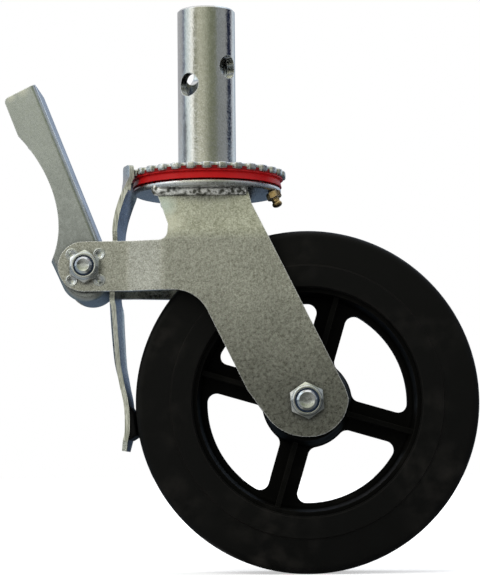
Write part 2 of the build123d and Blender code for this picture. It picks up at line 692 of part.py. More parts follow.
with BuildPart() as brake_lever:
    with BuildSketch(Plane.XZ) as lever_outline:
        with BuildLine():
            back = Spline(
                lever_point(LEVER_HEEL_UP, LEVER_HEEL_DEPTH),
                lever_point(LEVER_HIP_UP, LEVER_HIP_DEPTH),
                lever_point(LEVER_WAIST_UP, LEVER_WAIST_DEPTH),
                lever_point(LEVER_FLARE_UP, LEVER_FLARE_DEPTH),
            )
            Polyline(
                back @ 1,
                lever_point(LEVER_LENGTH, LEVER_TIP_WIDTH),
                lever_point(LEVER_LENGTH + LEVER_TIP_RISE, 0),
                lever_point(0, 0),
                (cam_x, cam_z),
                wrap_point(WRAP_START_TURN, CAM_R),
                back @ 0,
            )
        make_face()
        with Locations((cam_x, cam_z)):
            Circle(CAM_R)
    extrude(amount=lever_half, both=True)
    cheeks = brake_lever.faces().filter_by(Axis.Y)
    web_middle = cam_centre + web_up * LEVER_LENGTH / 2 + web_out * CAM_R
    wrap_edges = cheeks.edges().filter_by(GeomType.CIRCLE)
    web_edges = [cheek.edges().sort_by_distance(web_middle)[0] for cheek in cheeks]
    fillet(wrap_edges + web_edges, LEVER_FOLD_ROUND)
    tip_x, tip_z = lever_point(LEVER_LENGTH, LEVER_TIP_WIDTH)
    fillet(brake_lever.edges().filter_by(Axis.Y).sort_by_distance((tip_x, 0, tip_z))[0], LEVER_FOLD_ROUND)
    with BuildSketch(Plane.XZ):
        with BuildLine():
            Polyline(
                lever_point(LEVER_LENGTH + 2 * LEVER_SHEET, LEVER_SHEET),
                lever_point(0, LEVER_SHEET),
                (cam_x, cam_z),
                wrap_point(WRAP_END_TURN, LEVER_LENGTH),
                (-2 * LEVER_LENGTH, -LEVER_LENGTH),
                (-2 * LEVER_LENGTH, LEVER_LENGTH),
                close=True,
            )
        make_face()
        with Locations((cam_x, cam_z)):
            Circle(CAM_R - LEVER_SHEET)
    extrude(amount=lever_half - LEVER_SHEET, both=True, mode=Mode.SUBTRACT)
    with BuildSketch(pivot_plane):
        Circle(PIVOT_SLEEVE_D / 2 + RUNNING_CLEARANCE)
    extrude(amount=lever_half, both=True, mode=Mode.SUBTRACT)

# Bowed strap: one sheet that runs from two prongs at the teeth, past the cam, to the foot at the tread
strap_x = cam_x + CAM_R + CAM_GAP + STRAP_THICK / 2
foot_x = AXLE_TRAIL - TYRE_D / 2 - BRAKE_GAP - PAD_THICK - STRAP_THICK / 2
toe_z = -PAD_TOP_DROP - PAD_LENGTH - STRAP_TOE
waist_half = ARM_SPREAD / 2 - STRAP_WAIST_GAP
shoulder_top = -ARM_DROP + SHOULDER_GAP
shoulder_foot = arm_foot - SHOULDER_GAP
shoulder_run = STRAP_WIDTH / 2 - waist_half
notch_z = plate_foot - NOTCH_DROP
prong_outer = RING_D / 2 + BRAKE_GAP
prong_x = -math.sqrt(prong_outer**2 - (PRONG_SPREAD / 2) ** 2) - PRONG_DEPTH / 2
rivet_z = -PAD_TOP_DROP - PAD_LENGTH / 2

with BuildPart() as brake_strap:
    with BuildSketch(Plane.XZ):
        with BuildLine():
            Line((foot_x, toe_z), (foot_x, -PAD_TOP_DROP))
            Spline(
                (foot_x, -PAD_TOP_DROP),
                (strap_x, -STRAP_BELLY_DROP),
                (strap_x, -PIVOT_DROP),
                (strap_x + EAR_BEND, -EAR_BEND_DROP),
                (prong_x - EAR_BEND, notch_z),
                (prong_x + EAR_LEAN, plate_top),
                tangents=((0, 1), (1, 1)),
            )
        trace(line_width=STRAP_THICK)
    extrude(amount=STRAP_WIDTH / 2, both=True)
    with BuildSketch(Plane.YZ) as strap_front:
        with BuildLine():
            Polyline(
                (0, toe_z - STRAP_TOE),
                (STRAP_TOE_WIDTH / 2, toe_z - STRAP_TOE),
                (STRAP_TOE_WIDTH / 2, toe_z),
                (STRAP_FOOT_WIDTH / 2, toe_z + STRAP_TOE_RISE),
                (STRAP_FOOT_WIDTH / 2, toe_z + STRAP_FOOT_RISE),
                (STRAP_WIDTH / 2, shoulder_foot - shoulder_run - SHOULDER_EASE),
                (STRAP_WIDTH / 2, shoulder_foot - shoulder_run),
                (waist_half, shoulder_foot),
                (waist_half, shoulder_top),
                (STRAP_WIDTH / 2, shoulder_top + shoulder_run),
                (STRAP_WIDTH / 2, 0),
                (EAR_INSET, 0),
                (EAR_INSET, notch_z),
                (0, notch_z),
                close=True,
            )
        make_face()
        mirror(about=Plane.YZ)
    extrude(amount=PIVOT_REACH, both=True, mode=Mode.INTERSECT)
    with BuildSketch(Plane.XZ.offset(PRONG_SPREAD / 2)) as prong:
        with Locations((prong_x, PRONG_HEIGHT)):
            Rectangle(PRONG_DEPTH, PRONG_HEIGHT - notch_z + PRONG_LAP, align=(Align.CENTER, Align.MAX))
        fillet(prong.vertices().group_by(Axis.Y)[-1], STRAP_THICK / 3)
    extrude(amount=PRONG_WIDTH)
    with BuildSketch(Plane.XZ.offset(-PRONG_SPREAD / 2)) as far_prong:
        add(prong.sketch_local)
    extrude(amount=-PRONG_WIDTH)
    with BuildSketch(Plane.YZ):
        with Locations((0, rivet_z)):
            with GridLocations(RIVET_PITCH, 1, 2, 1):
                Circle(RIVET_D / 2)
    extrude(amount=-PIVOT_REACH, mode=Mode.SUBTRACT)

# Rivets that hold the pad, with their heads on the strap's back
with BuildPart() as pad_rivets:
    with BuildSketch(Plane.YZ.offset(foot_x - STRAP_THICK / 2)):
        with Locations((0, rivet_z)):
            with GridLocations(RIVET_PITCH, 1, 2, 1):
                Circle(RIVET_D / 2)
    extrude(amount=STRAP_THICK + PAD_THICK / 2)
    with BuildSketch(Plane.YZ.offset(foot_x - STRAP_THICK / 2)):
        with Locations((0, rivet_z)):
            with GridLocations(RIVET_PITCH, 1, 2, 1):
                Circle(RIVET_HEAD_D / 2)
    extrude(amount=-STRAP_THICK / 2, taper=RIVET_HEAD_TAPER)

# Rubber pad on the strap's foot, hollowed to the tread
with BuildPart() as brake_pad:
    with BuildSketch(Plane.XZ):
        with Locations((foot_x + STRAP_THICK / 2, -PAD_TOP_DROP)):
            Rectangle(STRAP_WIDTH, PAD_LENGTH, align=(Align.MIN, Align.MAX))
        with Locations((AXLE_TRAIL, -AXLE_DROP)):
            Circle(TYRE_D / 2 + BRAKE_GAP, mode=Mode.SUBTRACT)
    extrude(amount=PAD_WIDTH / 2, both=True)
    add(pad_rivets.part, mode=Mode.SUBTRACT)

pieces = {
    "stem_tube": stem_tube,
    "ratchet_ring": ratchet_ring,
    "king_bolt": king_bolt,
    "king_nut": king_nut,
    "lower_race": lower_race,
    "dust_seal": dust_seal,
    "bearing_plate": bearing_plate,
    "upper_balls": upper_balls,
    "lower_balls": lower_balls,
    "grease_nipple": grease_nipple,
    "fork_leg_near": fork_leg_near,
    "fork_leg_far": fork_leg_far,
    "leg_welds": leg_welds,
    "axle_bolt": axle_bolt,
    "axle_nut": axle_nut,
    "axle_nut_insert": axle_nut_insert,
    "axle_sleeve": axle_sleeve,
    "hub_washers": hub_washers,
    "wheel_core": wheel_core,
    "tyre": tyre,
    "hub_rollers": hub_rollers,
    "roller_cage": roller_cage,
    "pivot_bolt": pivot_bolt,
    "pivot_nut": pivot_nut,
    "pivot_nut_insert": pivot_nut_insert,
    "pivot_sleeve": pivot_sleeve,
    "brake_lever": brake_lever,
    "brake_strap": brake_strap,
    "brake_pad": brake_pad,
    "pad_rivets": pad_rivets,
}

os.makedirs("parts", exist_ok=True)
for name, piece in pieces.items():
    piece.part.label = name
    export_step(piece.part, f"parts/{name}.step")
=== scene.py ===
"""Looks of the scaffold castor: finishes, weld beads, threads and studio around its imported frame."""

import logging
import math
from collections.abc import Callable
from dataclasses import dataclass, field
from enum import Enum

import bmesh
import bpy
from mathutils import Matrix, Vector


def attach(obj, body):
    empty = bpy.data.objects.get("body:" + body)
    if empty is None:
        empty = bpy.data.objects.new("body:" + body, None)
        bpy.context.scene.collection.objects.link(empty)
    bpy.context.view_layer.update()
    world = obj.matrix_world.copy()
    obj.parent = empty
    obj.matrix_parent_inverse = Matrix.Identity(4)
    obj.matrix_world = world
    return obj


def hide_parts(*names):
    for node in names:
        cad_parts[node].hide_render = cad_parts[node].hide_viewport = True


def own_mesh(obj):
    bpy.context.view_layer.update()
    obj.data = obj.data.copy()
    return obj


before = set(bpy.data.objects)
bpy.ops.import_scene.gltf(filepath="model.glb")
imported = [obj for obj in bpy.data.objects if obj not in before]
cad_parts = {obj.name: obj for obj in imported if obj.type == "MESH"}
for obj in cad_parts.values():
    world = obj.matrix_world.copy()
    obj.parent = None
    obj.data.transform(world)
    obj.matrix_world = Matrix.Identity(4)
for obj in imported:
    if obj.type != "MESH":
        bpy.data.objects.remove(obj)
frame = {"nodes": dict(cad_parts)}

log = logging.getLogger("castor")
MM = 0.001
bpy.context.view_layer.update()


class Body(str, Enum):
    """Bodies of the frame that carry the detailed pieces."""

    STEM = "stem"
    FORK = "fork"
    STRAP = "strap"


Colour = tuple[float, float, float]
Pair = tuple[float, float]
Skin = bmesh.types.BMesh
Socket = bpy.types.NodeSocket
Field = Socket | float
Tint = Socket | Colour


def feed(tree: bpy.types.NodeTree, socket: Socket, value: object) -> None:
    """Links a socket to an input, or sets the input's own value.

    Args:
        tree: The node tree.
        socket: The input to fill.
        value: Another node's socket, a number, a colour or a material.
    """
    if isinstance(value, Socket):
        tree.links.new(value, socket)
    else:
        socket.default_value = (*value, 1.0) if socket.type == "RGBA" else value


def add_node(
    tree: bpy.types.NodeTree, kind: str, settings: dict | None = None, *values: object, **inputs: object
) -> bpy.types.Node:
    """Adds a node, sets its properties and fills or links its inputs.

    Args:
        tree: The node tree.
        kind: The node's type.
        settings: Properties of the node itself.
        *values: Values or sockets for its first inputs, in order.
        **inputs: Values or sockets by input name, with _ for a space.

    Returns:
        The new node.
    """
    made = tree.nodes.new(kind)
    for key, value in (settings or {}).items():
        setattr(made, key, value)
    for index, value in enumerate(values):
        feed(tree, made.inputs[index], value)
    for key, value in inputs.items():
        feed(tree, made.inputs[key.replace("_", " ")], value)
    return made


class ShaderTree:
    """Node tree of one material or of the world, built a node at a time on the object's own coordinates."""

    def __init__(self, name: str, world: bpy.types.World | None = None) -> None:
        """Starts an empty tree.

        Args:
            name: Name of the new material.
            world: World to shade instead of a new material.
        """
        self.material = world or bpy.data.materials.new(name)
        self.material.use_nodes = True
        self.tree = self.material.node_tree
        self.tree.nodes.clear()
        self.coords = None if world else self.node("ShaderNodeTexCoord").outputs["Object"]

    def node(self, kind: str, settings: dict | None = None, *values: object, **inputs: object) -> bpy.types.Node:
        """Adds a node to this tree, as add_node does."""
        return add_node(self.tree, kind, settings, *values, **inputs)

    def noise(
        self, size_mm: float, detail: float = 3.0, stretch: Colour = (1, 1, 1), offset: Colour = (0, 0, 0)
    ) -> Socket:
        """A noise field with features of a real size.

        Args:
            size_mm: Rough size of one feature.
            detail: How many finer layers it has.
            stretch: Factors on the coordinates, below 1 for long features.
            offset: Shift of the pattern.

        Returns:
            The socket of the noise's factor.
        """
        placed = self.node("ShaderNodeMapping", Vector=self.coords, Location=offset, Scale=stretch)
        scale = 1 / (size_mm * MM)
        return self.node("ShaderNodeTexNoise", Vector=placed.outputs[0], Scale=scale, Detail=detail).outputs[0]

    def spread(self, value: Field, low: float, high: float, to_low: float = 0.0, to_high: float = 1.0) -> Socket:
        """Maps a field from low..high to to_low..to_high, clamped, and returns the result's socket."""
        return self.node("ShaderNodeMapRange", None, value, low, high, to_low, to_high).outputs[0]

    def blend(self, factor: Field, first: Tint, second: Tint, mode: str = "MIX") -> Socket:
        """Mixes two colours.

        Args:
            factor: Share of the second, a socket or a number.
            first: Colour or socket.
            second: Colour or socket.
            mode: Blending mode.

        Returns:
            The socket of the mixed colour.
        """
        made = self.node("ShaderNodeMix", {"data_type": "RGBA", "blend_type": mode})
        for index, value in ((0, factor), (6, first), (7, second)):
            feed(self.tree, made.inputs[index], value)
        return made.outputs[2]

    def calc(self, operation: str, first: Field, second: Field = 0.0) -> Socket:
        """Works out one Math operation on two sockets or numbers and returns the result's socket."""
        return self.node("ShaderNodeMath", {"operation": operation}, first, second).outputs[0]

    def bump(self, height: Socket, depth_mm: float, normal: Socket | None = None) -> Socket:
        """Turns a height field into a surface normal.

        Args:
            height: The height's socket.
            depth_mm: Height of a full step.
            normal: Normal to start from.

        Returns:
            The socket of the new normal.
        """
        made = self.node("ShaderNodeBump", Height=height, Distance=depth_mm * MM, Strength=1.0)
        if normal is not None:
            self.tree.links.new(normal, made.inputs["Normal"])
        return made.outputs[0]

    def edges(self, radius_mm: float) -> tuple[Socket, Socket]:
        """Finds rounded edges.

        Args:
            radius_mm: Radius of the edge as worn.

        Returns:
            Sockets of the rounded normal and of a mask that is 1 on edges.
        """
        soft = self.node("ShaderNodeBevel", {"samples": 4}, Radius=radius_mm * MM).outputs[0]
        flat = self.node("ShaderNodeNewGeometry").outputs["Normal"]
        close = self.node("ShaderNodeVectorMath", {"operation": "DOT_PRODUCT"}, soft, flat)
        return soft, self.spread(close.outputs["Value"], 0.995, 0.9)

    def shade(self, colour: Tint, level: Field) -> Socket:
        """Multiplies a colour's socket by a grey level's socket and returns the product's socket."""
        grey = self.node("ShaderNodeCombineColor", Red=level, Green=level, Blue=level).outputs[0]
        return self.blend(1.0, colour, grey, "MULTIPLY")

    def shade_crevices(self, colour: Tint, reach_mm: float, depth: float) -> Socket:
        """Paints shade into a colour in crevices and where parts stand close, from an ambient occlusion mask.

        Args:
            colour: The colour's socket.
            reach_mm: How far from its walls a crevice is felt.
            depth: Share of the colour left at its bottom.

        Returns:
            The socket of the darkened colour.
        """
        made = self.node("ShaderNodeAmbientOcclusion", {"samples": 8}, Distance=reach_mm * MM)
        return self.shade(colour, self.spread(made.outputs["AO"], 0.35, 0.85, depth, 1.0))

    def close(self, **inputs: object) -> bpy.types.Material:
        """Ends the tree in a Principled shader.

        Args:
            **inputs: Inputs of the shader by name, with _ for a space.

        Returns:
            The finished material.
        """
        shader = self.node("ShaderNodeBsdfPrincipled", **inputs)
        self.node("ShaderNodeOutputMaterial", Surface=shader.outputs[0])
        return self.material


@dataclass(frozen=True)
class PlatedSteel:
    """Zinc plated steel: spangled, mottled by handling, with painted highlights on edges and in spots, and
    painted shade in crevices and towards its foot.
    """

    name: str
    light: Colour = (0.92, 0.92, 0.87)
    dark: Colour = (0.42, 0.42, 0.37)
    grain_mm: float = 1.1
    patch_mm: float = 22.0
    rough_low: float = 0.24
    rough_high: float = 0.38
    bump_mm: float = 0.012
    edge_mm: float = 0.5
    stretch: Colour = (1.0, 1.0, 1.0)
    low_shade: float = 1.0
    low_shade_foot: float = -135.0
    low_shade_top: float = -75.0
    edge_highlight: float = 0.8
    edge_metal: float = 0.35
    crevice_shade_mm: float = 5.0
    crevice_shade_depth: float = 0.3
    fleck_share: float = 0.35
    painted_highlights: tuple = ()

    def material(self) -> bpy.types.Material:
        """Builds the finish.

        Returns:
            The plated steel material.
        """
        t = ShaderTree(self.name)
        normal, edge = t.edges(self.edge_mm)
        grain = t.noise(self.grain_mm, 4, self.stretch)
        fleck = t.noise(self.grain_mm * 2.7, 2, self.stretch, (0.3, 0.1, 0.7))
        patch = t.noise(self.patch_mm, 2, self.stretch, (0.7, 0.2, 0.4))
        flecks = t.calc("MULTIPLY", fleck, self.fleck_share)
        tone = t.calc("ADD", t.calc("MULTIPLY", grain, 1 - self.fleck_share), flecks)
        colour = t.blend(t.spread(tone, 0.36, 0.64), self.dark, self.light)
        soiled = t.spread(patch, 0.35, 0.65, 0.88, 1.0)
        # Painted shade: the colour darkens towards the piece's foot, between two given heights.
        height = t.node("ShaderNodeSeparateXYZ", Vector=t.coords).outputs[2]
        lit_share = t.spread(height, self.low_shade_foot * MM, self.low_shade_top * MM, self.low_shade, 1.0)
        colour = t.shade(colour, t.calc("MULTIPLY", soiled, lit_share))
        # Painted highlights and reflections: spots of the colour blended towards a light tint.
        for place, radius, tint in self.painted_highlights:
            spot = [value * MM for value in place]
            gap = t.node("ShaderNodeVectorMath", {"operation": "DISTANCE"}, t.coords, spot)
            share = t.spread(gap.outputs["Value"], radius * 0.2 * MM, radius * MM, 0.8, 0.0)
            colour = t.blend(share, colour, tint)
        # Painted highlight: the colour blended towards near white along edges.
        colour = t.blend(t.calc("MULTIPLY", edge, self.edge_highlight), colour, (1.0, 1.0, 0.97))
        # Painted shade in crevices and where parts stand close.
        colour = t.shade_crevices(colour, self.crevice_shade_mm, self.crevice_shade_depth)
        metal = t.spread(edge, 0.0, 1.0, 1.0, self.edge_metal)
        rough = t.spread(fleck, 0.35, 0.65, self.rough_low, self.rough_high)
        relief = t.calc("ADD", grain, t.calc("MULTIPLY", fleck, 1.5))
        relief = t.bump(relief, self.bump_mm, normal)
        return t.close(Base_Color=colour, Metallic=metal, Roughness=rough, Normal=relief)


@dataclass(frozen=True)
class ShearedEdge:
    """The cut edge of plated sheet: dull olive zinc with bright lines drawn along it by the die."""

    name: str = "sheared_edge"
    dull: Colour = (0.30, 0.31, 0.24)
    bright: Colour = (0.78, 0.78, 0.66)
    line_mm: float = 0.55
    run: float = 0.05

    def material(self) -> bpy.types.Material:
        """Builds the finish.

        Returns:
            The edge's material.
        """
        t = ShaderTree(self.name)
        lines = t.noise(self.line_mm, 3, (1.0, 1.0, self.run))
        patch = t.noise(9.0, 2, (1.0, 1.0, 0.4), (0.6, 0.2, 0.1))
        tone = t.calc("ADD", t.calc("MULTIPLY", lines, 0.75), t.calc("MULTIPLY", patch, 0.25))
        colour = t.blend(t.spread(tone, 0.40, 0.62), self.dull, self.bright)
        rough = t.spread(lines, 0.35, 0.65, 0.5, 0.32)
        return t.close(Base_Color=colour, Metallic=0.45, Roughness=rough, Normal=t.bump(lines, 0.06))


@dataclass(frozen=True)
class WeldMetal:
    """Plated weld metal: rough, with painted highlights on its lumps and painted shade in the hollows between
    them.
    """

    name: str = "weld_metal"

    def material(self) -> bpy.types.Material:
        """Builds the finish.

        Returns:
            The weld metal material.
        """
        t = ShaderTree(self.name)
        grain = t.noise(0.9, 4)
        lumps = t.noise(3.0, 3, offset=(0.2, 0.5, 0.1))
        # Painted highlight on the lumps and painted shade between them, near white to near black.
        colour = t.blend(t.spread(lumps, 0.40, 0.58), (0.10, 0.10, 0.08), (1.0, 0.99, 0.92))
        colour = t.shade_crevices(colour, 4.0, 0.04)
        rough = t.spread(grain, 0.3, 0.7, 0.12, 0.34)
        height = t.calc("ADD", grain, t.calc("MULTIPLY", lumps, 2.0))
        return t.close(Base_Color=colour, Metallic=0.5, Roughness=rough, Normal=t.bump(height, 0.4))


@dataclass(frozen=True)
class Moulding:
    """Moulded rubber or plastic: a fine skin, scuffs and dust in large patches, and a painted highlight along
    edges in the dust's colour.
    """

    name: str
    colour: Colour
    dust_and_highlight: Colour
    dust_share: float = 0.25
    rough_low: float = 0.32
    rough_high: float = 0.5
    skin_mm: float = 0.6
    bump_mm: float = 0.02
    edge_mm: float = 0.6
    coat: float = 0.0
    gloss: float = 0.1
    shaded_above: float = 200.0

    def material(self) -> bpy.types.Material:
        """Builds the finish.

        Returns:
            The moulded material.
        """
        t = ShaderTree(self.name)
        normal, edge = t.edges(self.edge_mm)
        skin = t.noise(self.skin_mm, 3)
        scuff = t.noise(9.0, 4, (1, 1, 1), (0.4, 0.9, 0.2))
        patch = t.noise(38.0, 2, (1, 1, 1), (0.1, 0.3, 0.8))
        share = t.calc("MULTIPLY", t.spread(patch, 0.48, 0.75), t.spread(scuff, 0.4, 0.7))
        colour = t.blend(t.calc("MULTIPLY", share, self.dust_share), self.colour, self.dust_and_highlight)
        # Painted highlight: edges blended a quarter of the way towards the dust colour.
        colour = t.blend(t.calc("MULTIPLY", edge, 0.25), colour, self.dust_and_highlight)
        place = t.node("ShaderNodeSeparateXYZ", Vector=t.coords).outputs[2]
        shade = t.spread(place, (self.shaded_above - 0.3) * MM, (self.shaded_above + 0.3) * MM, 1.0, 0.4)
        colour = t.shade(colour, shade)
        rough = t.spread(scuff, 0.3, 0.7, self.rough_low, self.rough_high)
        return t.close(
            Base_Color=colour,
            Roughness=rough,
            Specular_IOR_Level=self.gloss,
            Coat_Weight=self.coat,
            Coat_Roughness=0.15,
            Normal=t.bump(skin, self.bump_mm, normal),
        )


FINISHES = (
    PlatedSteel("zinc_plate", grain_mm=0.65, bump_mm=0.02, edge_mm=0.6, low_shade=0.6),
    PlatedSteel(
        "fork_zinc", light=(0.98, 0.98, 0.93), dark=(0.40, 0.40, 0.35), grain_mm=0.75, bump_mm=0.022,
        edge_mm=0.6, low_shade=0.55,
        # Painted highlight and pale blue painted reflection on the neck.
        painted_highlights=(
            ((-20.5, -30.0, -35.0), 11.0, (1.0, 0.99, 0.93)),
            ((-24.0, -30.0, -24.0), 9.0, (0.84, 0.95, 1.0)),
        ),
    ),
    PlatedSteel(
        "lever_zinc", light=(0.76, 0.80, 0.83), dark=(0.60, 0.64, 0.65), grain_mm=1.0, patch_mm=30.0,
        rough_low=0.2, rough_high=0.34, bump_mm=0.006, edge_mm=0.6, low_shade=0.66, low_shade_foot=-65.0,
        low_shade_top=40.0,
        # Painted highlights on the lever's web and on its top rim.
        painted_highlights=(
            ((-67.2, -5.0, -36.0), 18.0, (1.0, 1.0, 1.0)),
            ((-75.2, -5.0, -16.0), 18.0, (1.0, 1.0, 1.0)),
            ((-85.0, -5.0, 9.0), 17.0, (0.92, 0.98, 1.0)),
            ((-116.4, -22.6, 44.5), 4.5, (1.0, 1.0, 0.95)),
            ((-109.2, -22.6, 48.0), 5.0, (1.0, 1.0, 0.95)),
        ),
    ),
    PlatedSteel(
        # Rim painted near white and matt, a painted highlight.
        "plate_zinc", light=(0.95, 0.96, 0.97), dark=(0.70, 0.71, 0.72), grain_mm=0.7, edge_mm=0.9,
        edge_highlight=1.0, edge_metal=0.0,
    ),
    PlatedSteel(
        "stem_steel", light=(0.80, 0.80, 0.77), dark=(0.64, 0.64, 0.60), grain_mm=0.9, patch_mm=30.0,
        rough_low=0.1, rough_high=0.22, bump_mm=0.07, stretch=(1, 1, 0.8),
    ),
    PlatedSteel(
        "spring_steel", light=(0.62, 0.63, 0.62), dark=(0.42, 0.43, 0.42), grain_mm=0.9, patch_mm=18.0,
        rough_low=0.22, rough_high=0.4, bump_mm=0.02,
    ),
    PlatedSteel(
        "bearing_steel", light=(0.75, 0.75, 0.75), dark=(0.6, 0.6, 0.6), grain_mm=2.0, patch_mm=10.0,
        rough_low=0.08, rough_high=0.16, bump_mm=0.004, edge_mm=0.1,
    ),
    PlatedSteel(
        "fastener_zinc", light=(0.90, 0.93, 0.95), dark=(0.72, 0.74, 0.75), grain_mm=0.8, patch_mm=9.0,
        rough_low=0.14, rough_high=0.26, bump_mm=0.008, edge_mm=0.3, edge_highlight=0.4, edge_metal=1.0,
        crevice_shade_mm=2.5,
    ),
    PlatedSteel(
        # Tooth edges painted near white, a painted highlight.
        "ring_zinc", light=(0.92, 0.93, 0.92), dark=(0.5, 0.5, 0.47), grain_mm=0.8, patch_mm=9.0,
        rough_low=0.16, rough_high=0.36, bump_mm=0.05, edge_highlight=1.0, edge_metal=0.2, crevice_shade_mm=2.5,
    ),
    WeldMetal(),
    ShearedEdge(),
    Moulding("nylon", (0.03, 0.05, 0.09), (0.2, 0.24, 0.3), dust_share=0.2, rough_low=0.25, rough_high=0.4),
    Moulding(
        "seal_red",
        (0.40, 0.006, 0.007),
        (0.12, 0.01, 0.01),
        dust_share=0.5, rough_low=0.3, rough_high=0.45, skin_mm=1.5, edge_mm=0.3, coat=0.08, gloss=0.12,
        shaded_above=-4.3,
    ),
    PlatedSteel(
        "brass", light=(0.75, 0.55, 0.28), dark=(0.5, 0.34, 0.15), grain_mm=0.8, patch_mm=6.0,
        rough_low=0.18, rough_high=0.34, bump_mm=0.01, edge_mm=0.3,
    ),
    Moulding(
        "cast_black",
        (0.0022, 0.0022, 0.0018),
        (0.03, 0.028, 0.024),
        rough_low=0.5, rough_high=0.68, skin_mm=0.8, bump_mm=0.03, gloss=0.05,
    ),
    Moulding(
        "tyre_rubber",
        (0.0036, 0.0036, 0.0033),
        (0.035, 0.030, 0.025),
        dust_share=0.35, rough_low=0.38, rough_high=0.55, skin_mm=0.7,
    ),
    Moulding("pad_rubber", (0.004,) * 3, (0.03,) * 3, dust_share=0.3, rough_low=0.5, rough_high=0.7),
)
MATERIALS: dict[str, bpy.types.Material] = {}


def new_object(
    name: str, maker: Skin, material: bpy.types.Material, degrees: float | None = None
) -> bpy.types.Object:
    """Turns a finished bmesh into an object at the origin.

    Args:
        name: Name of the object.
        maker: The bmesh, freed here.
        material: Its finish.
        degrees: Turn between faces from which an edge is sharp, or None to shade the piece flat.

    Returns:
        The new object.
    """
    bmesh.ops.recalc_face_normals(maker, faces=maker.faces)
    if degrees is not None:
        maker.normal_update()
        for face in maker.faces:
            face.smooth = True
        for edge in maker.edges:
            edge.smooth = edge.calc_face_angle(0.0) < math.radians(degrees)
    data = bpy.data.meshes.new(name)
    maker.to_mesh(data)
    maker.free()
    data.materials.append(material)
    made = bpy.data.objects.new(name, data)
    bpy.context.collection.objects.link(made)
    log.info("built %s", name)
    return made


def bridge(maker: Skin, low: list, high: list, looped: bool = True) -> None:
    """Joins two rows of points with faces.

    Args:
        maker: Skin to add to.
        low: First row.
        high: Second row, of as many points.
        looped: True where the rows close on themselves.
    """
    count = len(low)
    for step in range(count if looped else count - 1):
        after = (step + 1) % count
        maker.faces.new((low[step], low[after], high[after], high[step]))


@dataclass
class Finisher:
    """Dresses the carried-over nodes with the finish of their material slot."""

    nodes: dict = field(default_factory=lambda: frame["nodes"])
    own: tuple = (
        ("brake_lever", "lever_zinc"),
        ("bearing_plate", "plate_zinc"),
        ("fork_leg_near", "fork_zinc"),
        ("fork_leg_far", "fork_zinc"),
    )

    def dress(self) -> None:
        """Gives each slot of each node its finish."""
        own = dict(self.own)
        for name, node in self.nodes.items():
            for spot in node.material_slots:
                key = own.get(name, spot.material.name.split(".")[0])
                spot.material = MATERIALS[key]
            log.info("dressed %s", name)


Ring = Callable[[float], Pair]


@dataclass(frozen=True)
class Lathe:
    """A turned solid on an axis, whose rings may change with the angle, as a hexagon or a thread does."""

    centre: Vector
    axis: Vector
    start: Vector
    steps: int = 72

    def mesh(
        self, rings: list[Ring], looped: bool = False, maker: Skin | None = None
    ) -> Skin:
        """Joins the rings into a closed skin.

        Args:
            rings: Functions from an angle in radians to a radius and a height in millimetres.
            looped: True where the last ring joins the first, False where both ends are capped with a pole.
            maker: Skin to add to, or None for a new one.

        Returns:
            The skin.
        """
        side = self.axis.cross(self.start)
        maker = maker or bmesh.new()
        grid = []
        for ring in rings:
            row = []
            for step in range(self.steps):
                angle = 2 * math.pi * step / self.steps
                radius, height = ring(angle)
                out = self.start * math.cos(angle) + side * math.sin(angle)
                row.append(maker.verts.new((self.centre + self.axis * height + out * radius) * MM))
            grid.append(row)
        pairs = list(zip(grid, grid[1:]))
        if looped:
            pairs.append((grid[-1], grid[0]))
        for low, high in pairs:
            bridge(maker, low, high)
        if not looped:
            for row, ring in ((grid[0], rings[0]), (grid[-1], rings[-1])):
                pole = maker.verts.new((self.centre + self.axis * ring(0.0)[1]) * MM)
                for step in range(self.steps):
                    maker.faces.new((pole, row[step], row[(step + 1) % self.steps]))
        return maker


def circle(radius: float, height: float) -> Ring:
    """A plain ring of a radius, at a height on the axis."""
    return lambda angle: (radius, height)


def rounded(radius: float, height: float, curve: float, steps: int = 4, outward: bool = True) -> list[Ring]:
    """Rings of a quarter round at an edge.

    Args:
        radius: Radius of the part before the edge.
        height: Height of the end face.
        curve: Radius of the rounding, negative where the height falls.
        steps: Number of its segments.
        outward: True for an outer edge, False for a bore's mouth.

    Returns:
        The rings from the wall to the end face.
    """
    turn = 1 if outward else -1
    rings = []
    for step in range(steps + 1):
        angle = math.pi / 2 * step / steps
        inset = abs(curve) * (1 - math.cos(angle))
        rings.append(circle(radius - turn * inset, height - curve * (1 - math.sin(angle))))
    return rings


@dataclass(frozen=True)
class Hexagon:
    """A chamfered hexagon of a nut or a bolt's head."""

    flats: float
    turn: float
    bevel: float = 0.97
    slope: float = 0.577

    def ring(self, height: float, depth_sign: float = 0.0) -> Ring:
        """A ring of the hexagon's side at the height where its chamfer ends.

        Args:
            height: Height of the end face that the chamfer starts from.
            depth_sign: Direction into the hexagon, 1 or -1.

        Returns:
            The ring.
        """

        def at(angle: float) -> Pair:
            """Radius and height at an angle."""
            share = (math.degrees(angle) - self.turn + 30) % 60 - 30
            radius = self.flats / 2 / math.cos(math.radians(30 - abs(share)))
            depth = (radius - self.flats / 2 * self.bevel) * self.slope
            return radius, height + depth_sign * depth

        return at

    def face(self, height: float) -> Ring:
        """The circle where the chamfer meets the end face at a height."""
        return circle(self.flats / 2 * self.bevel, height)


@dataclass(frozen=True)
class Thread:
    """A rolled thread on a bolt's shank."""

    major: float
    pitch: float
    depth: float

    def ring(self, height: float, limit: float = 99.0) -> Ring:
        """A ring of the thread.

        Args:
            height: Its height on the shank.
            limit: Radius that it stays within, as at a chamfer.

        Returns:
            The ring.
        """

        def at(angle: float) -> Pair:
            """Radius and height at an angle."""
            phase = (height / self.pitch - angle / (2 * math.pi)) % 1.0
            dip = self.depth * max(0.0, 1 - 2.6 * abs(phase - 0.5))
            return min(self.major - dip, limit), height

        return at


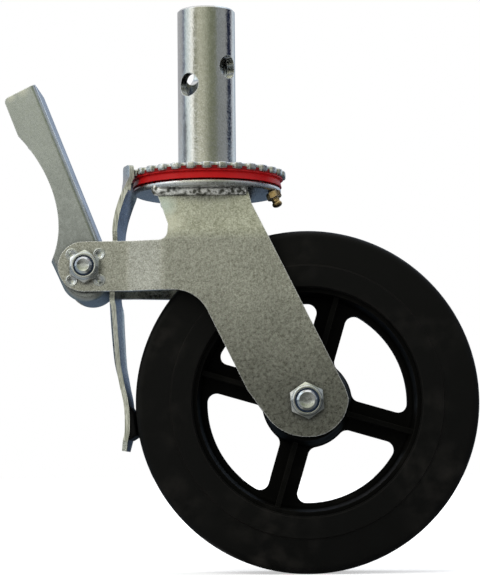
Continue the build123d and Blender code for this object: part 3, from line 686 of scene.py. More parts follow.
@dataclass
class CrossBolt:
    """A bolt across the fork with its lock nut, seen from the nut's side."""

    name: str
    x: float
    z: float
    shank: float
    flats: float
    seat: float
    head_height: float
    nut_height: float
    pitch: float
    turn: float
    tip: float = 3.0
    tip_hollow: tuple = ((0.74, 0.0), (0.62, 0.3), (0.3, 0.45))
    hex_share: float = 0.7
    collar_share: float = 0.468
    insert_share: float = 0.58

    def build(self) -> None:
        """Makes the bolt and the nut in place of their plain nodes."""
        lathe = Lathe(Vector((self.x, 0, self.z)), Vector((0, -1, 0)), Vector((1, 0, 0)))
        self.place(f"{self.name}_bolt_detail", lathe.mesh(self.bolt_rings()), f"{self.name}_bolt")
        self.place(f"{self.name}_nut_detail", lathe.mesh(self.nut_rings(), looped=True), f"{self.name}_nut")

    def place(self, name: str, maker: Skin, node: str) -> None:
        """Puts one piece on the fork in place of a node.

        Args:
            name: The piece's name.
            maker: Its skin.
            node: The node that it stands for.
        """
        made = new_object(name, maker, MATERIALS["fastener_zinc"], 32.0)
        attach(made, Body.FORK.value)
        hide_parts(node)

    def bolt_rings(self) -> list[Ring]:
        """The bolt from its head's face to its tip.

        Returns:
            The rings.
        """
        radius = self.shank / 2
        head = Hexagon(self.flats, self.turn + 11.0)
        top = -self.seat - self.head_height
        tip = self.seat + self.nut_height + self.tip
        rings = [circle(radius * 0.9, top + 0.25), circle(radius * 0.98, top), head.face(top)]
        rings += [head.ring(top, 1.0), head.ring(-self.seat, -1.0)]
        rings += [head.face(-self.seat), circle(radius, -self.seat)]
        thread = Thread(radius, self.pitch, self.pitch * 0.45)
        start = self.seat + self.nut_height * 0.55
        rings += [circle(radius, start - 1.0)]
        count = 34
        for step in range(count + 1):
            height = start + (tip - start) * step / count
            rings.append(thread.ring(height, radius - max(0.0, 1.3 - (tip - height))))
        rings += [circle(radius * share, tip - dip) for share, dip in self.tip_hollow]
        return rings

    def nut_rings(self) -> list[Ring]:
        """The nut's hexagon, its round collar and its bore.

        Returns:
            The rings, which close on themselves.
        """
        body = Hexagon(self.flats, self.turn)
        low, high = self.seat, self.seat + self.nut_height * self.hex_share
        end = self.seat + self.nut_height
        collar = self.flats * self.collar_share
        insert = self.shank * self.insert_share
        rings = [circle(self.shank / 2, low), body.face(low), body.ring(low, 1.0), body.ring(high, -1.0)]
        rings += [circle(collar + 0.12, high), circle(collar, high + 0.35)]
        rings += rounded(collar, end, 1.1, 5)
        rings += rounded(insert, end, 0.5, 3, outward=False)[::-1]
        rings += [circle(insert, high), circle(self.shank / 2, high)]
        return rings


@dataclass
class PressedDimples:
    """The four dimples pressed round the pivot in each leg, with their raised rims."""

    x: float = -71.0
    z: float = -59.3
    pitch_x: float = 16.4
    pitch_z: float = 15.4
    face: float = 29.0
    rim: tuple = ((2.2, -1.05), (2.2, -0.3), (3.6, -0.2), (3.6, 0.0), (3.4, 0.16), (3.05, 0.24), (2.7, 0.14))
    bowl: tuple = ((2.3, -0.16), (1.9, -0.5), (1.4, -0.78), (0.8, -0.92))

    def build(self) -> None:
        """Lays a bowl with a rim over each of the legs' recesses."""
        for name, side in (("near", -1), ("far", 1)):
            maker = bmesh.new()
            for across in (-0.5, 0.5):
                for up in (-0.5, 0.5):
                    x, z = self.x + across * self.pitch_x, self.z + up * self.pitch_z
                    lathe = Lathe(Vector((x, side * self.face, z)), Vector((0, side, 0)), Vector((1, 0, 0)), 40)
                    lathe.mesh([circle(*place) for place in (*self.rim, *self.bowl)], maker=maker)
            made = new_object(f"pressed_dimples_{name}", maker, MATERIALS["fastener_zinc"], 50.0)
            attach(made, Body.FORK.value)


@dataclass
class GreaseNipple:
    """The brass grease nipple on the bearing plate's underside."""

    inset: float = 5.3
    ring_radius: float = 47.5
    plate_foot: float = -13.54
    turn: float = -21.0
    tilt: float = 68.0
    standoff: float = 0.9
    flats: float = 8.0
    hexagon_height: float = 4.0
    shank: tuple = ((2.4, -2.6), (2.4, 0.0))
    head: tuple = (
        (2.7, 4.1), (2.5, 4.6), (2.3, 6.1), (2.35, 6.3), (2.9, 7.0), (3.05, 7.6),
        (2.9, 8.3), (2.4, 8.9), (1.5, 9.3), (0.9, 9.3), (0.7, 8.9),
    )

    def build(self) -> None:
        """Makes the nipple in place of its plain node."""
        swing = Matrix.Rotation(math.radians(self.turn), 3, "Z")
        aim = swing @ Matrix.Rotation(math.radians(self.tilt), 3, "Y") @ Vector((1, 0, 0))
        seat = swing @ Vector((self.ring_radius - self.inset, 0, self.plate_foot)) + aim * self.standoff
        start = aim.cross(Vector((0, 1, 0))).normalized()
        body = Hexagon(self.flats, 12.0)
        end = self.hexagon_height
        rings = [*(circle(*place) for place in self.shank), body.face(0.0), body.ring(0.0, 1.0)]
        rings += [body.ring(end, -1.0), body.face(end), *(circle(*place) for place in self.head)]
        maker = Lathe(seat, aim, start, 48).mesh(rings)
        made = new_object("grease_nipple_detail", maker, MATERIALS["brass"], 32.0)
        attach(made, Body.FORK.value)
        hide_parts("grease_nipple")


@dataclass
class ToothedRing:
    """The punched swivel ring with its rolled tooth edges."""

    radius: float = 47.5
    thick: float = 4.0
    teeth: int = 31
    first_gap: float = 266.6
    gap_radius: float = 2.2
    gap_depth: float = 2.6
    tip_round: float = 1.4
    edge: float = 1.0
    bore: float = 7.0

    def outline(self, inset: float) -> list[Pair]:
        """The toothed outline, moved inwards by an inset.

        Args:
            inset: Distance from the full outline.

        Returns:
            Points in order around the ring.
        """
        centre_r = self.radius + self.gap_radius - self.gap_depth
        tip_r = self.radius - self.tip_round
        reach = self.gap_radius + self.tip_round
        spread = math.acos((tip_r**2 + centre_r**2 - reach**2) / (2 * tip_r * centre_r))
        points = []
        for tooth in range(self.teeth):
            middle = math.radians(self.first_gap) + 2 * math.pi * tooth / self.teeth
            gap = Vector((centre_r * math.cos(middle), centre_r * math.sin(middle)))
            before = Vector((tip_r * math.cos(middle - spread), tip_r * math.sin(middle - spread)))
            after = Vector((tip_r * math.cos(middle + spread), tip_r * math.sin(middle + spread)))
            points += self.arc(before, self.tip_round - inset, before, gap - before, 5)
            points += self.arc(gap, self.gap_radius + inset, before - gap, after - gap, 9)[1:-1]
            points += self.arc(after, self.tip_round - inset, gap - after, after, 5)
        return points

    @staticmethod
    def arc(centre: Vector, radius: float, first: Vector, last: Vector, steps: int) -> list[Pair]:
        """Points on the shorter arc between two directions.

        Args:
            centre: The arc's centre.
            radius: Its radius.
            first: Direction of its first point.
            last: Direction of its last point.
            steps: Number of points.

        Returns:
            The points.
        """
        start = math.atan2(first.y, first.x)
        sweep = (math.atan2(last.y, last.x) - start + math.pi) % (2 * math.pi) - math.pi
        turns = [start + sweep * step / (steps - 1) for step in range(steps)]
        return [(centre.x + radius * math.cos(turn), centre.y + radius * math.sin(turn)) for turn in turns]

    def build(self) -> None:
        """Makes the ring in place of its plain node."""
        profile = []
        steps = 4
        for step in range(steps + 1):
            angle = math.pi / 2 * step / steps
            profile.append((self.edge * (1 - math.sin(angle)), -self.edge * (1 - math.cos(angle))))
        profile += [(inset, -self.thick - height) for inset, height in reversed(profile)]
        maker = bmesh.new()
        rows = []
        for inset, height in profile:
            rows.append([maker.verts.new((x * MM, y * MM, height * MM)) for x, y in self.outline(inset)])
        for height, row_first in ((0.0, True), (-self.thick, False)):
            edge = rows[0] if row_first else rows[-1]
            inner = [maker.verts.new((v.co.normalized() * self.bore * MM).to_2d().to_3d()) for v in edge]
            for vert in inner:
                vert.co.z = height * MM
            rows = [inner, *rows] if row_first else [*rows, inner]
        for low, high in zip(rows, [*rows[1:], rows[0]]):
            bridge(maker, low, high)
        made = new_object("toothed_ring", maker, MATERIALS["ring_zinc"], 40.0)
        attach(made, Body.STEM.value)
        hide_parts("ratchet_ring")


def smooth_curve(stops: tuple[Pair, ...], at: float) -> float:
    """Reads a smooth curve through measured stops.

    Args:
        stops: Pairs of place and value, in rising order of place.
        at: Place to read.

    Returns:
        The value there.
    """
    at = min(max(at, stops[0][0]), stops[-1][0])
    low = max(index for index in range(len(stops) - 1) if stops[index][0] <= at)
    slopes = []
    for index in (low, low + 1):
        before, after = stops[max(index - 1, 0)], stops[min(index + 1, len(stops) - 1)]
        slopes.append((after[1] - before[1]) / (after[0] - before[0]))
    (start, first), (end, last) = stops[low], stops[low + 1]
    run = end - start
    t = (at - start) / run
    ease = t * t * (3 - 2 * t)
    return first + (last - first) * ease + run * t * (1 - t) * ((1 - t) * slopes[0] - t * slopes[1])


def flex_under_cam(piece: bpy.types.Object) -> None:
    """Gives the strap, or a rivet in it, a mesh of its own.

    Args:
        piece: Strap, or a rivet in it.
    """
    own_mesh(piece)


@dataclass
class BrakeStrap:
    """The sprung strap: one sheet, dished below the arm, rolled to the ring's curve at its two prongs."""

    thick: float = 2.9
    prong_radius: float = 51.4
    prong_edge: float = 25.0
    prong_gap: float = 11.6
    prong_top: float = 2.2
    prong_foot: float = -8.0
    corner: float = 2.6
    dish_power: float = 8.0
    row_gap: float = 1.6
    back: tuple = (
        (-167.6, -51.5), (-162.0, -50.5), (-157.0, -49.4), (-151.0, -49.2), (-144.5, -49.3),
        (-137.5, -50.1), (-130.5, -51.6), (-123.5, -53.4), (-116.0, -55.1), (-106.0, -56.2),
        (-84.0, -57.5), (-60.0, -57.2), (-43.0, -55.5), (-33.6, -54.9), (-25.0, -53.4),
        (-18.5, -52.4), (-8.0, -51.4), (4.0, -51.4),
    )
    half_width: tuple = (
        (-167.6, 13.0), (-161.6, 19.0), (-149.6, 19.0), (-83.6, 28.0), (-79.6, 28.0),
        (-75.0, 23.4), (-42.5, 23.4), (-37.9, 28.0), (-16.0, 28.0), (-12.5, 27.2),
        (-10.0, 25.9), (-8.0, 25.0),
    )
    dish: tuple = ((-130.0, 0.0), (-121.0, 0.8), (-110.0, 1.6), (-84.0, 1.7), (-77.0, 0.4), (-25.0, 0.0))
    roll: tuple = ((-32.0, 0.0), (-25.0, 0.03), (-18.5, 0.15), (-13.9, 0.32), (-9.8, 0.6), (-5.0, 1.0))

    def build(self) -> None:
        """Makes the strap in place of its plain node."""
        maker = bmesh.new()
        columns = self.columns()
        rows = [self.row(maker, columns, height) for height in self.heights()]
        for low, high in zip(rows, rows[1:]):
            bridge(maker, low, high, looped=False)
        for side in (-1, 1):
            self.add_prong(maker, columns, rows[-1], side)
        bmesh.ops.recalc_face_normals(maker, faces=maker.faces)
        skin = set(maker.verts)
        toe = min(maker.faces, key=lambda face: face.calc_center_median().z)
        if toe.normal.x > 0:
            bmesh.ops.reverse_faces(maker, faces=maker.faces)
        bmesh.ops.solidify(maker, geom=maker.faces[:], thickness=self.thick * MM)
        made = new_object("brake_strap_detail", self.mark_rim(maker, skin), MATERIALS["spring_steel"], 38.0)
        made.data.materials.append(MATERIALS["sheared_edge"])
        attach(made, Body.STRAP.value)
        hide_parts("brake_strap")
        flex_under_cam(made)

    @staticmethod
    def mark_rim(maker: Skin, skin: set) -> Skin:
        """Gives the sheet's cut edge the second finish.

        Args:
            maker: The thick sheet.
            skin: Points of its first face.

        Returns:
            The same sheet.
        """
        for face in maker.faces:
            shared = sum(vert in skin for vert in face.verts)
            face.material_index = int(0 < shared < len(face.verts))
        return maker

    def columns(self) -> list[float]:
        """Shares of the half width at which the sheet has points.

        Returns:
            The shares, from -1 to 1.
        """
        places = [0.0, 2.5, 5.0, 7.5, 10.0, self.prong_gap]
        run = self.prong_edge - self.prong_gap
        shares = (0.02, 0.06, 0.12, 0.2, 0.35, 0.5, 0.65, 0.8, 0.88, 0.94, 0.98, 1.0)
        places += [self.prong_gap + run * share for share in shares]
        shares = [place / self.prong_edge for place in places]
        return [-share for share in reversed(shares[1:])] + shares

    def heights(self) -> list[float]:
        """Heights of the sheet's rows below the prongs.

        Returns:
            The heights, rising.
        """
        stops = [place for place, width in self.half_width]
        heights = []
        for low, high in zip(stops, stops[1:]):
            count = max(2, round((high - low) / self.row_gap))
            heights += [low + (high - low) * step / count for step in range(count)]
        return [*heights, stops[-1]]

    def point(self, y: float, z: float) -> Vector:
        """A point on the sheet's back.

        Args:
            y: Place across the strap.
            z: Height.

        Returns:
            The point in metres.
        """
        width = self.width(z)
        dish = max(0.0, smooth_curve(self.dish, z))
        flat = smooth_curve(self.back, z) + dish * (abs(y) / width) ** self.dish_power
        curved = -math.sqrt(self.prong_radius**2 - y**2)
        share = smooth_curve(self.roll, z)
        return Vector((flat + (curved - flat) * share, y, z)) * MM

    def width(self, z: float) -> float:
        """Half the sheet's width at a height.

        Args:
            z: The height.

        Returns:
            The half width.
        """
        stops = self.half_width
        for (low, first), (high, last) in zip(stops, stops[1:]):
            if z <= high:
                return first + (last - first) * (z - low) / (high - low)
        return self.prong_edge

    def row(self, maker: Skin, columns: list[float], height: float) -> list[bmesh.types.BMVert]:
        """Adds a row of points across the sheet, at shares of its half width, and returns them."""
        width = self.width(height)
        return [maker.verts.new(self.point(share * width, height)) for share in columns]

    def add_prong(self, maker: Skin, columns: list[float], base: list, side: int) -> None:
        """Carries the sheet on into one prong with rounded corners.

        Args:
            maker: Skin to add to.
            columns: Shares of the half width.
            base: The sheet's top row.
            side: -1 for the near prong, 1 for the far one.
        """
        inner = self.prong_gap / self.prong_edge - 1e-6
        chosen = [index for index, share in enumerate(columns) if side * share >= inner]
        grid = [[base[index] for index in chosen]]
        steps = 6
        for step in range(1, steps + 1):
            line = []
            for index in chosen:
                y = columns[index] * self.prong_edge
                near_end = min(abs(y) - self.prong_gap, self.prong_edge - abs(y))
                inset = max(0.0, self.corner - near_end)
                top = self.prong_top - self.corner + math.sqrt(max(0.0, self.corner**2 - inset**2))
                rise = (top - self.prong_foot) * step / steps
                line.append(maker.verts.new(self.point(y, self.prong_foot + rise)))
            grid.append(line)
        for low, high in zip(grid, grid[1:]):
            bridge(maker, low, high, looped=False)


@dataclass
class BrakePad:
    """The rubber pad on the strap's foot, tapered at both ends, and its two flush rivets."""

    seat: float = -46.6
    top: float = -141.0
    foot: float = -161.4
    tread_top: float = -145.5
    tread_foot: float = -158.6
    half: float = 17.6
    corner: float = 1.6
    axle: tuple = (59.0, -139.7)
    reach: float = 102.8
    rivet_back: float = -49.6
    rivet_spread: float = 9.0
    rivet_z: float = -151.0
    rivet: tuple = ((3.1, 0.0), (3.5, 0.15), (3.6, 0.45), (2.0, 2.0), (2.0, 4.2))

    def build(self) -> None:
        """Makes the pad and the rivets in place of their plain nodes."""
        maker = bmesh.new()
        rows = []
        for y, inset in self.stations():
            rows.append([maker.verts.new((x * MM, y * MM, z * MM)) for x, z in self.outline(inset)])
        for low, high in zip(rows, rows[1:]):
            bridge(maker, low, high)
        maker.faces.new(rows[0])
        maker.faces.new(rows[-1])
        made = new_object("brake_pad_detail", maker, MATERIALS["pad_rubber"], 35.0)
        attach(made, Body.STRAP.value)
        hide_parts("brake_pad")
        self.add_rivets()

    def stations(self) -> list[Pair]:
        """Sections along the pad's width, with rounded ends.

        Returns:
            Pairs of place across the pad and inset of its outline.
        """
        turns = [math.pi / 2 * step / 4 for step in range(5)]
        corner = self.corner
        near = [(-self.half + corner * (1 - math.sin(turn)), corner * (1 - math.cos(turn))) for turn in turns]
        return near[::-1] + [(-y, inset) for y, inset in near]

    def outline(self, inset: float) -> list[Pair]:
        """Side outline of the pad.

        Args:
            inset: How far its free faces stand back.

        Returns:
            Pairs of x and z.
        """
        points = [(self.seat, self.foot + inset), (self.seat, self.top - inset)]
        steps = 8
        for step in range(steps + 1):
            z = self.tread_top - inset + (self.tread_foot - self.tread_top + 2 * inset) * step / steps
            x = self.axle[0] - math.sqrt((self.reach + inset) ** 2 - (z - self.axle[1]) ** 2)
            points.append((x, z))
        return points

    def add_rivets(self) -> None:
        """Makes the two rivets, whose flat heads lie in the strap's back."""
        for name, side in (("near", -1), ("far", 1)):
            place = Vector((self.rivet_back, side * self.rivet_spread, self.rivet_z))
            lathe = Lathe(place, Vector((1, 0, 0)), Vector((0, 0, 1)), 32)
            rings = [circle(*ring) for ring in self.rivet]
            made = new_object(f"pad_rivet_{name}", lathe.mesh(rings), MATERIALS["bearing_steel"], 35.0)
            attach(made, Body.STRAP.value)
            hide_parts("pad_rivets")
            flex_under_cam(made)


@dataclass
class WeldBeads:
    """Lumpy weld beads in the corners between the fork's legs and the bearing plate."""

    plate_foot: float = -13.54
    leg_face: float = 30.0
    left: float = -29.8
    right: float = 25.4
    far_left: float = -28.8
    far_right: float = 21.4
    core: float = 3.6
    core_inset: float = 1.0
    core_out: float = 0.6
    ripple: float = 4.1
    ripple_inset: float = 1.4
    ripple_out: float = 0.2
    ripple_drop: float = 0.1
    pitch: float = 2.3
    seed: int = 7

    def build(self) -> None:
        """Makes both beads in place of their plain node."""
        maker = bmesh.new()
        for side, left, right in ((-1, self.left, self.right), (1, self.far_left, self.far_right)):
            self.add_core(maker, side, left, right)
        made = new_object("weld_beads", maker, MATERIALS["weld_metal"])
        plain = self.ripples(made)
        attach(plain, Body.FORK.value)
        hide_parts("leg_welds")
        log.info("built weld_beads_rippled")

    def add_core(self, maker: Skin, side: int, left: float, right: float) -> None:
        """Adds the smooth core of one bead.

        Args:
            maker: Skin to add to.
            side: -1 for the near leg, 1 for the far one.
            left: Where the bead starts.
            right: Where it ends.
        """
        steps = 12
        rows = []
        for x in (left + self.core_inset, right - self.core_inset):
            row = []
            for step in range(steps):
                turn = 2 * math.pi * step / steps
                y = side * (self.leg_face + self.core_out + self.core * math.cos(turn))
                z = self.plate_foot - self.core_out + self.core * math.sin(turn)
                row.append(maker.verts.new((x * MM, y * MM, z * MM)))
            rows.append(row)
        bridge(maker, *rows)
        for row in rows:
            maker.faces.new(row)

    def ripples(self, core: bpy.types.Object) -> bpy.types.Object:
        """Lays overlapping ripples along the cores with Geometry Nodes and bakes them to a plain mesh.

        Args:
            core: The object with both cores.

        Returns:
            The plain object.
        """
        group = bpy.data.node_groups.new("weld_ripples", "GeometryNodeTree")
        face = group.interface
        face.new_socket("Core", in_out="INPUT", socket_type="NodeSocketGeometry")
        sockets = {}
        for label, kind in (
            ("Count", "NodeSocketInt"),
            ("Far Count", "NodeSocketInt"),
            ("Pitch", "NodeSocketFloat"),
            ("Size", "NodeSocketFloat"),
            ("Seed", "NodeSocketInt"),
        ):
            sockets[label] = face.new_socket(label, in_out="INPUT", socket_type=kind).identifier
        face.new_socket("Beads", in_out="OUTPUT", socket_type="NodeSocketGeometry")
        source = group.nodes.new("NodeGroupInput").outputs
        join = add_node(group, "GeometryNodeJoinGeometry", None, source["Core"])
        offset = add_node(group, "ShaderNodeCombineXYZ", None, source["Pitch"])
        ball = add_node(group, "GeometryNodeMeshIcoSphere", Radius=source["Size"], Subdivisions=4)
        drift = Vector((0.4, 0.2, 0.2)) * MM
        for side, left, count in ((-1, self.left, "Count"), (1, self.far_left, "Far Count")):
            across = side * (self.leg_face + self.ripple_out)
            start = (left + self.ripple_inset, across, self.plate_foot - self.ripple_drop)
            line = add_node(group, "GeometryNodeMeshLine", Count=source[count], Offset=offset.outputs[0])
            line.inputs["Start Location"].default_value = Vector(start) * MM
            moved = self.random_vector(group, source, -drift, drift)
            scale = self.random_vector(group, source, (0.6, 0.9, 0.9), (1.0, 1.03, 1.03))
            tilt = self.random_vector(group, source, (-0.2, -0.25, -0.3), (0.2, 0.25, 0.3))
            spot = add_node(group, "GeometryNodeSetPosition", Geometry=line.outputs[0], Offset=moved)
            copies = add_node(
                group,
                "GeometryNodeInstanceOnPoints",
                Points=spot.outputs[0],
                Instance=ball.outputs["Mesh"],
                Scale=scale,
                Rotation=tilt,
            )
            group.links.new(copies.outputs[0], join.inputs[0])
        real = add_node(group, "GeometryNodeRealizeInstances", None, join.outputs[0])
        metal = MATERIALS["weld_metal"]
        finish = add_node(group, "GeometryNodeSetMaterial", None, real.outputs[0], Material=metal)
        add_node(group, "NodeGroupOutput", None, finish.outputs[0])
        modifier = core.modifiers.new("ripples", "NODES")
        modifier.node_group = group
        near, far = self.right - self.left, self.far_right - self.far_left
        for label, length in (("Count", near), ("Far Count", far)):
            modifier[sockets[label]] = int((length - 2 * self.ripple_inset) / self.pitch) + 1
        modifier[sockets["Pitch"]] = self.pitch * MM
        modifier[sockets["Size"]] = self.ripple * MM
        modifier[sockets["Seed"]] = self.seed
        graph = bpy.context.evaluated_depsgraph_get()
        data = bpy.data.meshes.new_from_object(core.evaluated_get(graph))
        core.modifiers.remove(modifier)
        plain = bpy.data.objects.new("weld_beads_rippled", data)
        bpy.context.collection.objects.link(plain)
        bpy.data.objects.remove(core)
        for polygon in data.polygons:
            polygon.use_smooth = True
        return plain

    @staticmethod
    def random_vector(
        group: bpy.types.NodeTree, source: bpy.types.NodeOutputs, low: Vector | tuple, high: Vector | tuple
    ) -> Socket:
        """Adds a seeded random vector to the tree.

        Args:
            group: The tree.
            source: Sockets of its input node.
            low: Lowest values.
            high: Highest values.

        Returns:
            The vector's socket.
        """
        settings = {"data_type": "FLOAT_VECTOR"}
        return add_node(group, "FunctionNodeRandomValue", settings, low, high, Seed=source["Seed"]).outputs[0]


# Tints of the cards by azimuth in degrees, 0 along -Y and plus towards +X, above and below the split.
HIGH_CARDS = (
    (-180, (0.25, 0.31, 0.42)), (-170, (0.50, 0.50, 0.53)), (-112, (0.44, 0.45, 0.48)),
    (-100, (0.16, 0.18, 0.26)), (-90, (0.58, 0.68, 0.74)), (-66, (1.05, 1.10, 1.10)),
    (-54, (1.30, 1.28, 1.22)), (-46, (0.24, 0.25, 0.19)), (-30, (0.55, 0.55, 0.44)),
    (-6, (0.46, 0.47, 0.37)), (20, (0.21, 0.225, 0.16)), (40, (0.20, 0.215, 0.165)),
    (48, (0.27, 0.29, 0.305)), (90, (0.32, 0.33, 0.34)), (94, (0.015, 0.02, 0.045)),
    (116, (0.015, 0.02, 0.045)), (122, (0.48, 0.49, 0.55)), (140, (0.76, 0.86, 0.96)),
    (152, (0.56, 0.64, 0.74)), (165, (0.25, 0.31, 0.42)), (180, (0.25, 0.31, 0.42)),
)
LOW_CARDS = (
    (-180, (0.22, 0.30, 0.40)), (-165, (0.24, 0.32, 0.44)), (-120, (0.44, 0.56, 0.64)),
    (-90, (0.55, 0.66, 0.72)), (-45, (0.75, 0.77, 0.74)), (-18, (0.70, 0.70, 0.64)),
    (-4, (0.45, 0.45, 0.40)), (12, (0.22, 0.23, 0.20)), (60, (0.20, 0.21, 0.20)), (100, (0.24, 0.28, 0.34)),
    (140, (0.40, 0.52, 0.62)), (160, (0.10, 0.14, 0.22)), (176, (0.10, 0.14, 0.22)),
    (180, (0.22, 0.30, 0.40)),
)

# Strength of the cards by height in metres.
CARD_FOOT, CARD_TOP = -0.25, 3.0
CARD_RISE = (
    (-0.25, 0.50), (-0.22, 0.36), (-0.14, 0.08), (-0.06, 0.09), (0.04, 0.34), (0.11, 0.98),
    (0.20, 1.45), (0.32, 1.30), (0.43, 1.04), (1.00, 1.04), (1.60, 1.60), (3.00, 1.90),
)


@dataclass
class Studio:
    """Pale floor, white backdrop, soft lamps, and a ring of cards for the metal to mirror."""

    sky: Colour = (0.92, 0.95, 1.0)
    sky_power: float = 0.55
    white: Colour = (1.0, 1.0, 1.0)
    floor_grey: Colour = (0.82, 0.82, 0.82)
    floor_size: float = 30.0
    floor_z: float = -241.3
    card_radius: float = 2.4
    card_height: float = 5.0
    card_gap: float = 0.02
    card_split: float = 0.35
    card_blur: float = 0.08
    lit_place: tuple = (30.0, 0.0, -80.0)
    lens: float = 120.96
    shift: float = 0.1739
    camera_place: tuple = (54.303, -1162.084, -182.035)
    pitch: float = 0.0448
    roll: float = -0.00833
    yaw: float = 0.03055

    def build(self) -> None:
        """Makes the whole studio."""
        self.world()
        self.floor()
        self.cards()
        self.lamps()
        self.camera()

    def world(self) -> None:
        """White for camera, glossy and transmitted rays, a plain grey for the light on the object."""
        world = bpy.data.worlds.new("studio")
        bpy.context.scene.world = world
        t = ShaderTree("world", world)
        path = t.node("ShaderNodeLightPath").outputs
        seen = t.calc("MAXIMUM", path["Is Camera Ray"], path["Is Glossy Ray"])
        through = t.calc("MAXIMUM", seen, path["Is Transmission Ray"])
        lit = t.node("ShaderNodeBackground", Color=self.sky, Strength=self.sky_power)
        white = t.node("ShaderNodeBackground", Color=self.white, Strength=1.0)
        mix = t.node("ShaderNodeMixShader", None, through, lit.outputs[0], white.outputs[0])
        t.node("ShaderNodeOutputWorld", Surface=mix.outputs[0])

    def floor(self) -> None:
        """A wide pale floor that keeps the soft shadow under the tyre and fades into the white far away."""
        maker = bmesh.new()
        bmesh.ops.create_grid(maker, x_segments=1, y_segments=1, size=self.floor_size)
        bmesh.ops.translate(maker, verts=maker.verts, vec=(0, 0, self.floor_z * MM))
        t = ShaderTree("floor_white")
        path = t.node("ShaderNodeLightPath").outputs
        seen = t.calc("MAXIMUM", path["Is Camera Ray"], path["Is Glossy Ray"])
        away = t.node("ShaderNodeVectorMath", {"operation": "LENGTH"}, t.coords)
        glow_share = t.spread(away.outputs["Value"], 0.35, 1.3, 0.5, 1.0)
        diffuse = t.node("ShaderNodeBsdfDiffuse", Color=self.floor_grey)
        glow = t.node("ShaderNodeEmission", Color=self.white, Strength=glow_share)
        both = t.node("ShaderNodeAddShader", None, diffuse.outputs[0], glow.outputs[0])
        mix = t.node("ShaderNodeMixShader", None, seen, diffuse.outputs[0], both.outputs[0])
        t.node("ShaderNodeOutputMaterial", Surface=mix.outputs[0])
        new_object("studio_floor", maker, t.material)

    def cards(self) -> None:
        """Tinted cards on the floor and in a ring, which only mirror-like rays see."""
        maker = bmesh.new()
        steps = 96
        foot = (self.floor_z + 0.5) * MM
        profile = ((self.card_gap, foot), (self.card_radius, foot), (self.card_radius, self.card_height))
        rings = []
        for step in range(steps):
            turn = 2 * math.pi * step / steps
            rings.append([maker.verts.new((r * math.cos(turn), r * math.sin(turn), z)) for r, z in profile])
        for low, high in zip(rings, [*rings[1:], rings[0]]):
            bridge(maker, low, high, looped=False)
        t = ShaderTree("studio_cards")
        place = t.node("ShaderNodeSeparateXYZ", Vector=t.coords)
        angle = t.calc("ARCTAN2", place.outputs[0], t.calc("MULTIPLY", place.outputs[1], -1.0))
        share = t.spread(angle, -math.pi, math.pi)
        high = self.ramp(t, share, HIGH_CARDS, -180, 180)
        low = self.ramp(t, share, LOW_CARDS, -180, 180)
        split = t.spread(place.outputs[2], self.card_split - self.card_blur, self.card_split + self.card_blur)
        level = t.spread(place.outputs[2], CARD_FOOT, CARD_TOP)
        greys = [(height, (value,) * 3) for height, value in CARD_RISE]
        rise = self.ramp(t, level, greys, CARD_FOOT, CARD_TOP)
        colour = t.blend(split, low, high)
        glow = t.node("ShaderNodeEmission", Color=colour, Strength=rise)
        t.node("ShaderNodeOutputMaterial", Surface=glow.outputs[0])
        ring = new_object("studio_cards", maker, t.material)
        ring.visible_camera = ring.visible_diffuse = ring.visible_transmission = ring.visible_shadow = False

    @staticmethod
    def ramp(t: ShaderTree, share: Socket, stops: tuple | list, first: float, last: float) -> Socket:
        """A colour ramp with stops at named places.

        Args:
            t: Tree to add to.
            share: Where the ramp is read.
            stops: Pairs of place and colour.
            first: Place of the ramp's start.
            last: Place of its end.

        Returns:
            The colour's socket.
        """
        ramp = t.node("ShaderNodeValToRGB", Fac=share)
        elements = ramp.color_ramp.elements
        while len(elements) < len(stops):
            elements.new(0.5)
        for element, (stop, colour) in zip(elements, stops):
            element.position = (stop - first) / (last - first)
            element.color = (*colour, 1.0)
        return ramp.outputs[0]

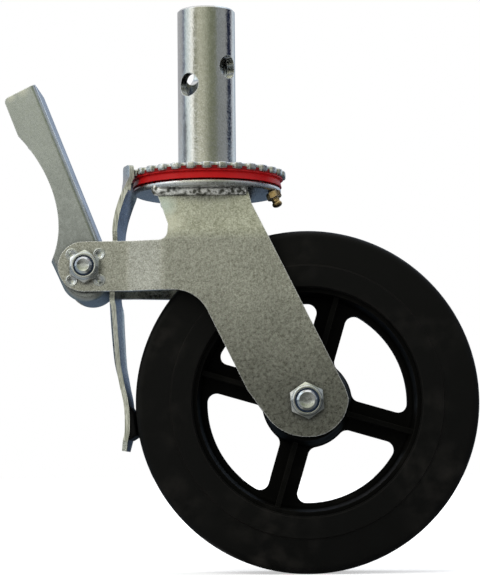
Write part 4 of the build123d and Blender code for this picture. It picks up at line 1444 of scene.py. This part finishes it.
    def lamps(self) -> None:
        """Soft key from the upper left front, cool fill from the right, and a top light."""
        for name, place, size, power, colour in (
            ("key", (-1.1, -1.5, 1.3), 1.4, 27.0, (1.0, 0.98, 0.93)),
            ("fill", (1.6, -0.9, 0.6), 1.2, 6.0, (0.85, 0.92, 1.0)),
            ("top", (0.1, 0.3, 1.8), 1.2, 12.0, (1.0, 1.0, 1.0)),
        ):
            data = bpy.data.lights.new(name, "AREA")
            data.size = size
            data.energy = power
            data.color = colour
            lamp = bpy.data.objects.new(name, data)
            lamp.location = place
            aim = Vector(self.lit_place) * MM - Vector(place)
            lamp.rotation_euler = aim.to_track_quat("-Z", "Y").to_euler()
            lamp.visible_glossy = False
            bpy.context.collection.objects.link(lamp)

    def camera(self) -> None:
        """Camera at the photograph's place and angle, shifted as the photograph is cropped."""
        data = bpy.data.cameras.new("camera")
        data.lens = self.lens
        data.shift_y = self.shift
        data.sensor_width = 36.0
        data.clip_end = 100.0
        made = bpy.data.objects.new("camera", data)
        turn = Matrix.Rotation(self.yaw, 4, "Z") @ Matrix.Rotation(math.pi / 2 + self.pitch, 4, "X")
        place = Matrix.Translation(Vector(self.camera_place) * MM)
        made.matrix_world = place @ turn @ Matrix.Rotation(self.roll, 4, "Z")
        bpy.context.collection.objects.link(made)
        bpy.context.scene.camera = made


def main() -> None:
    """Dresses the frame, adds the detailed pieces and sets up the studio."""
    logging.basicConfig(level=logging.INFO, format="%(name)s: %(message)s")
    for finish in FINISHES:
        MATERIALS[finish.name] = finish.material()
    Finisher().dress()
    ToothedRing().build()
    WeldBeads().build()
    GreaseNipple().build()
    PressedDimples().build()
    BrakeStrap().build()
    BrakePad().build()
    axle = {"x": 59.0, "z": -139.7, "shank": 12.0, "flats": 19.0, "seat": 35.0, "turn": 35.0}
    CrossBolt("axle", **axle, head_height=7.5, nut_height=12.0, pitch=1.75).build()
    pivot = {"x": -71.0, "z": -59.3, "shank": 10.0, "flats": 17.0, "seat": 29.0, "turn": 28.0}
    CrossBolt("pivot", **pivot, head_height=6.4, nut_height=11.0, pitch=1.5).build()
    Studio().build()
    bpy.context.scene.view_settings.view_transform = "Standard"


if __name__ == "__main__":
    main()
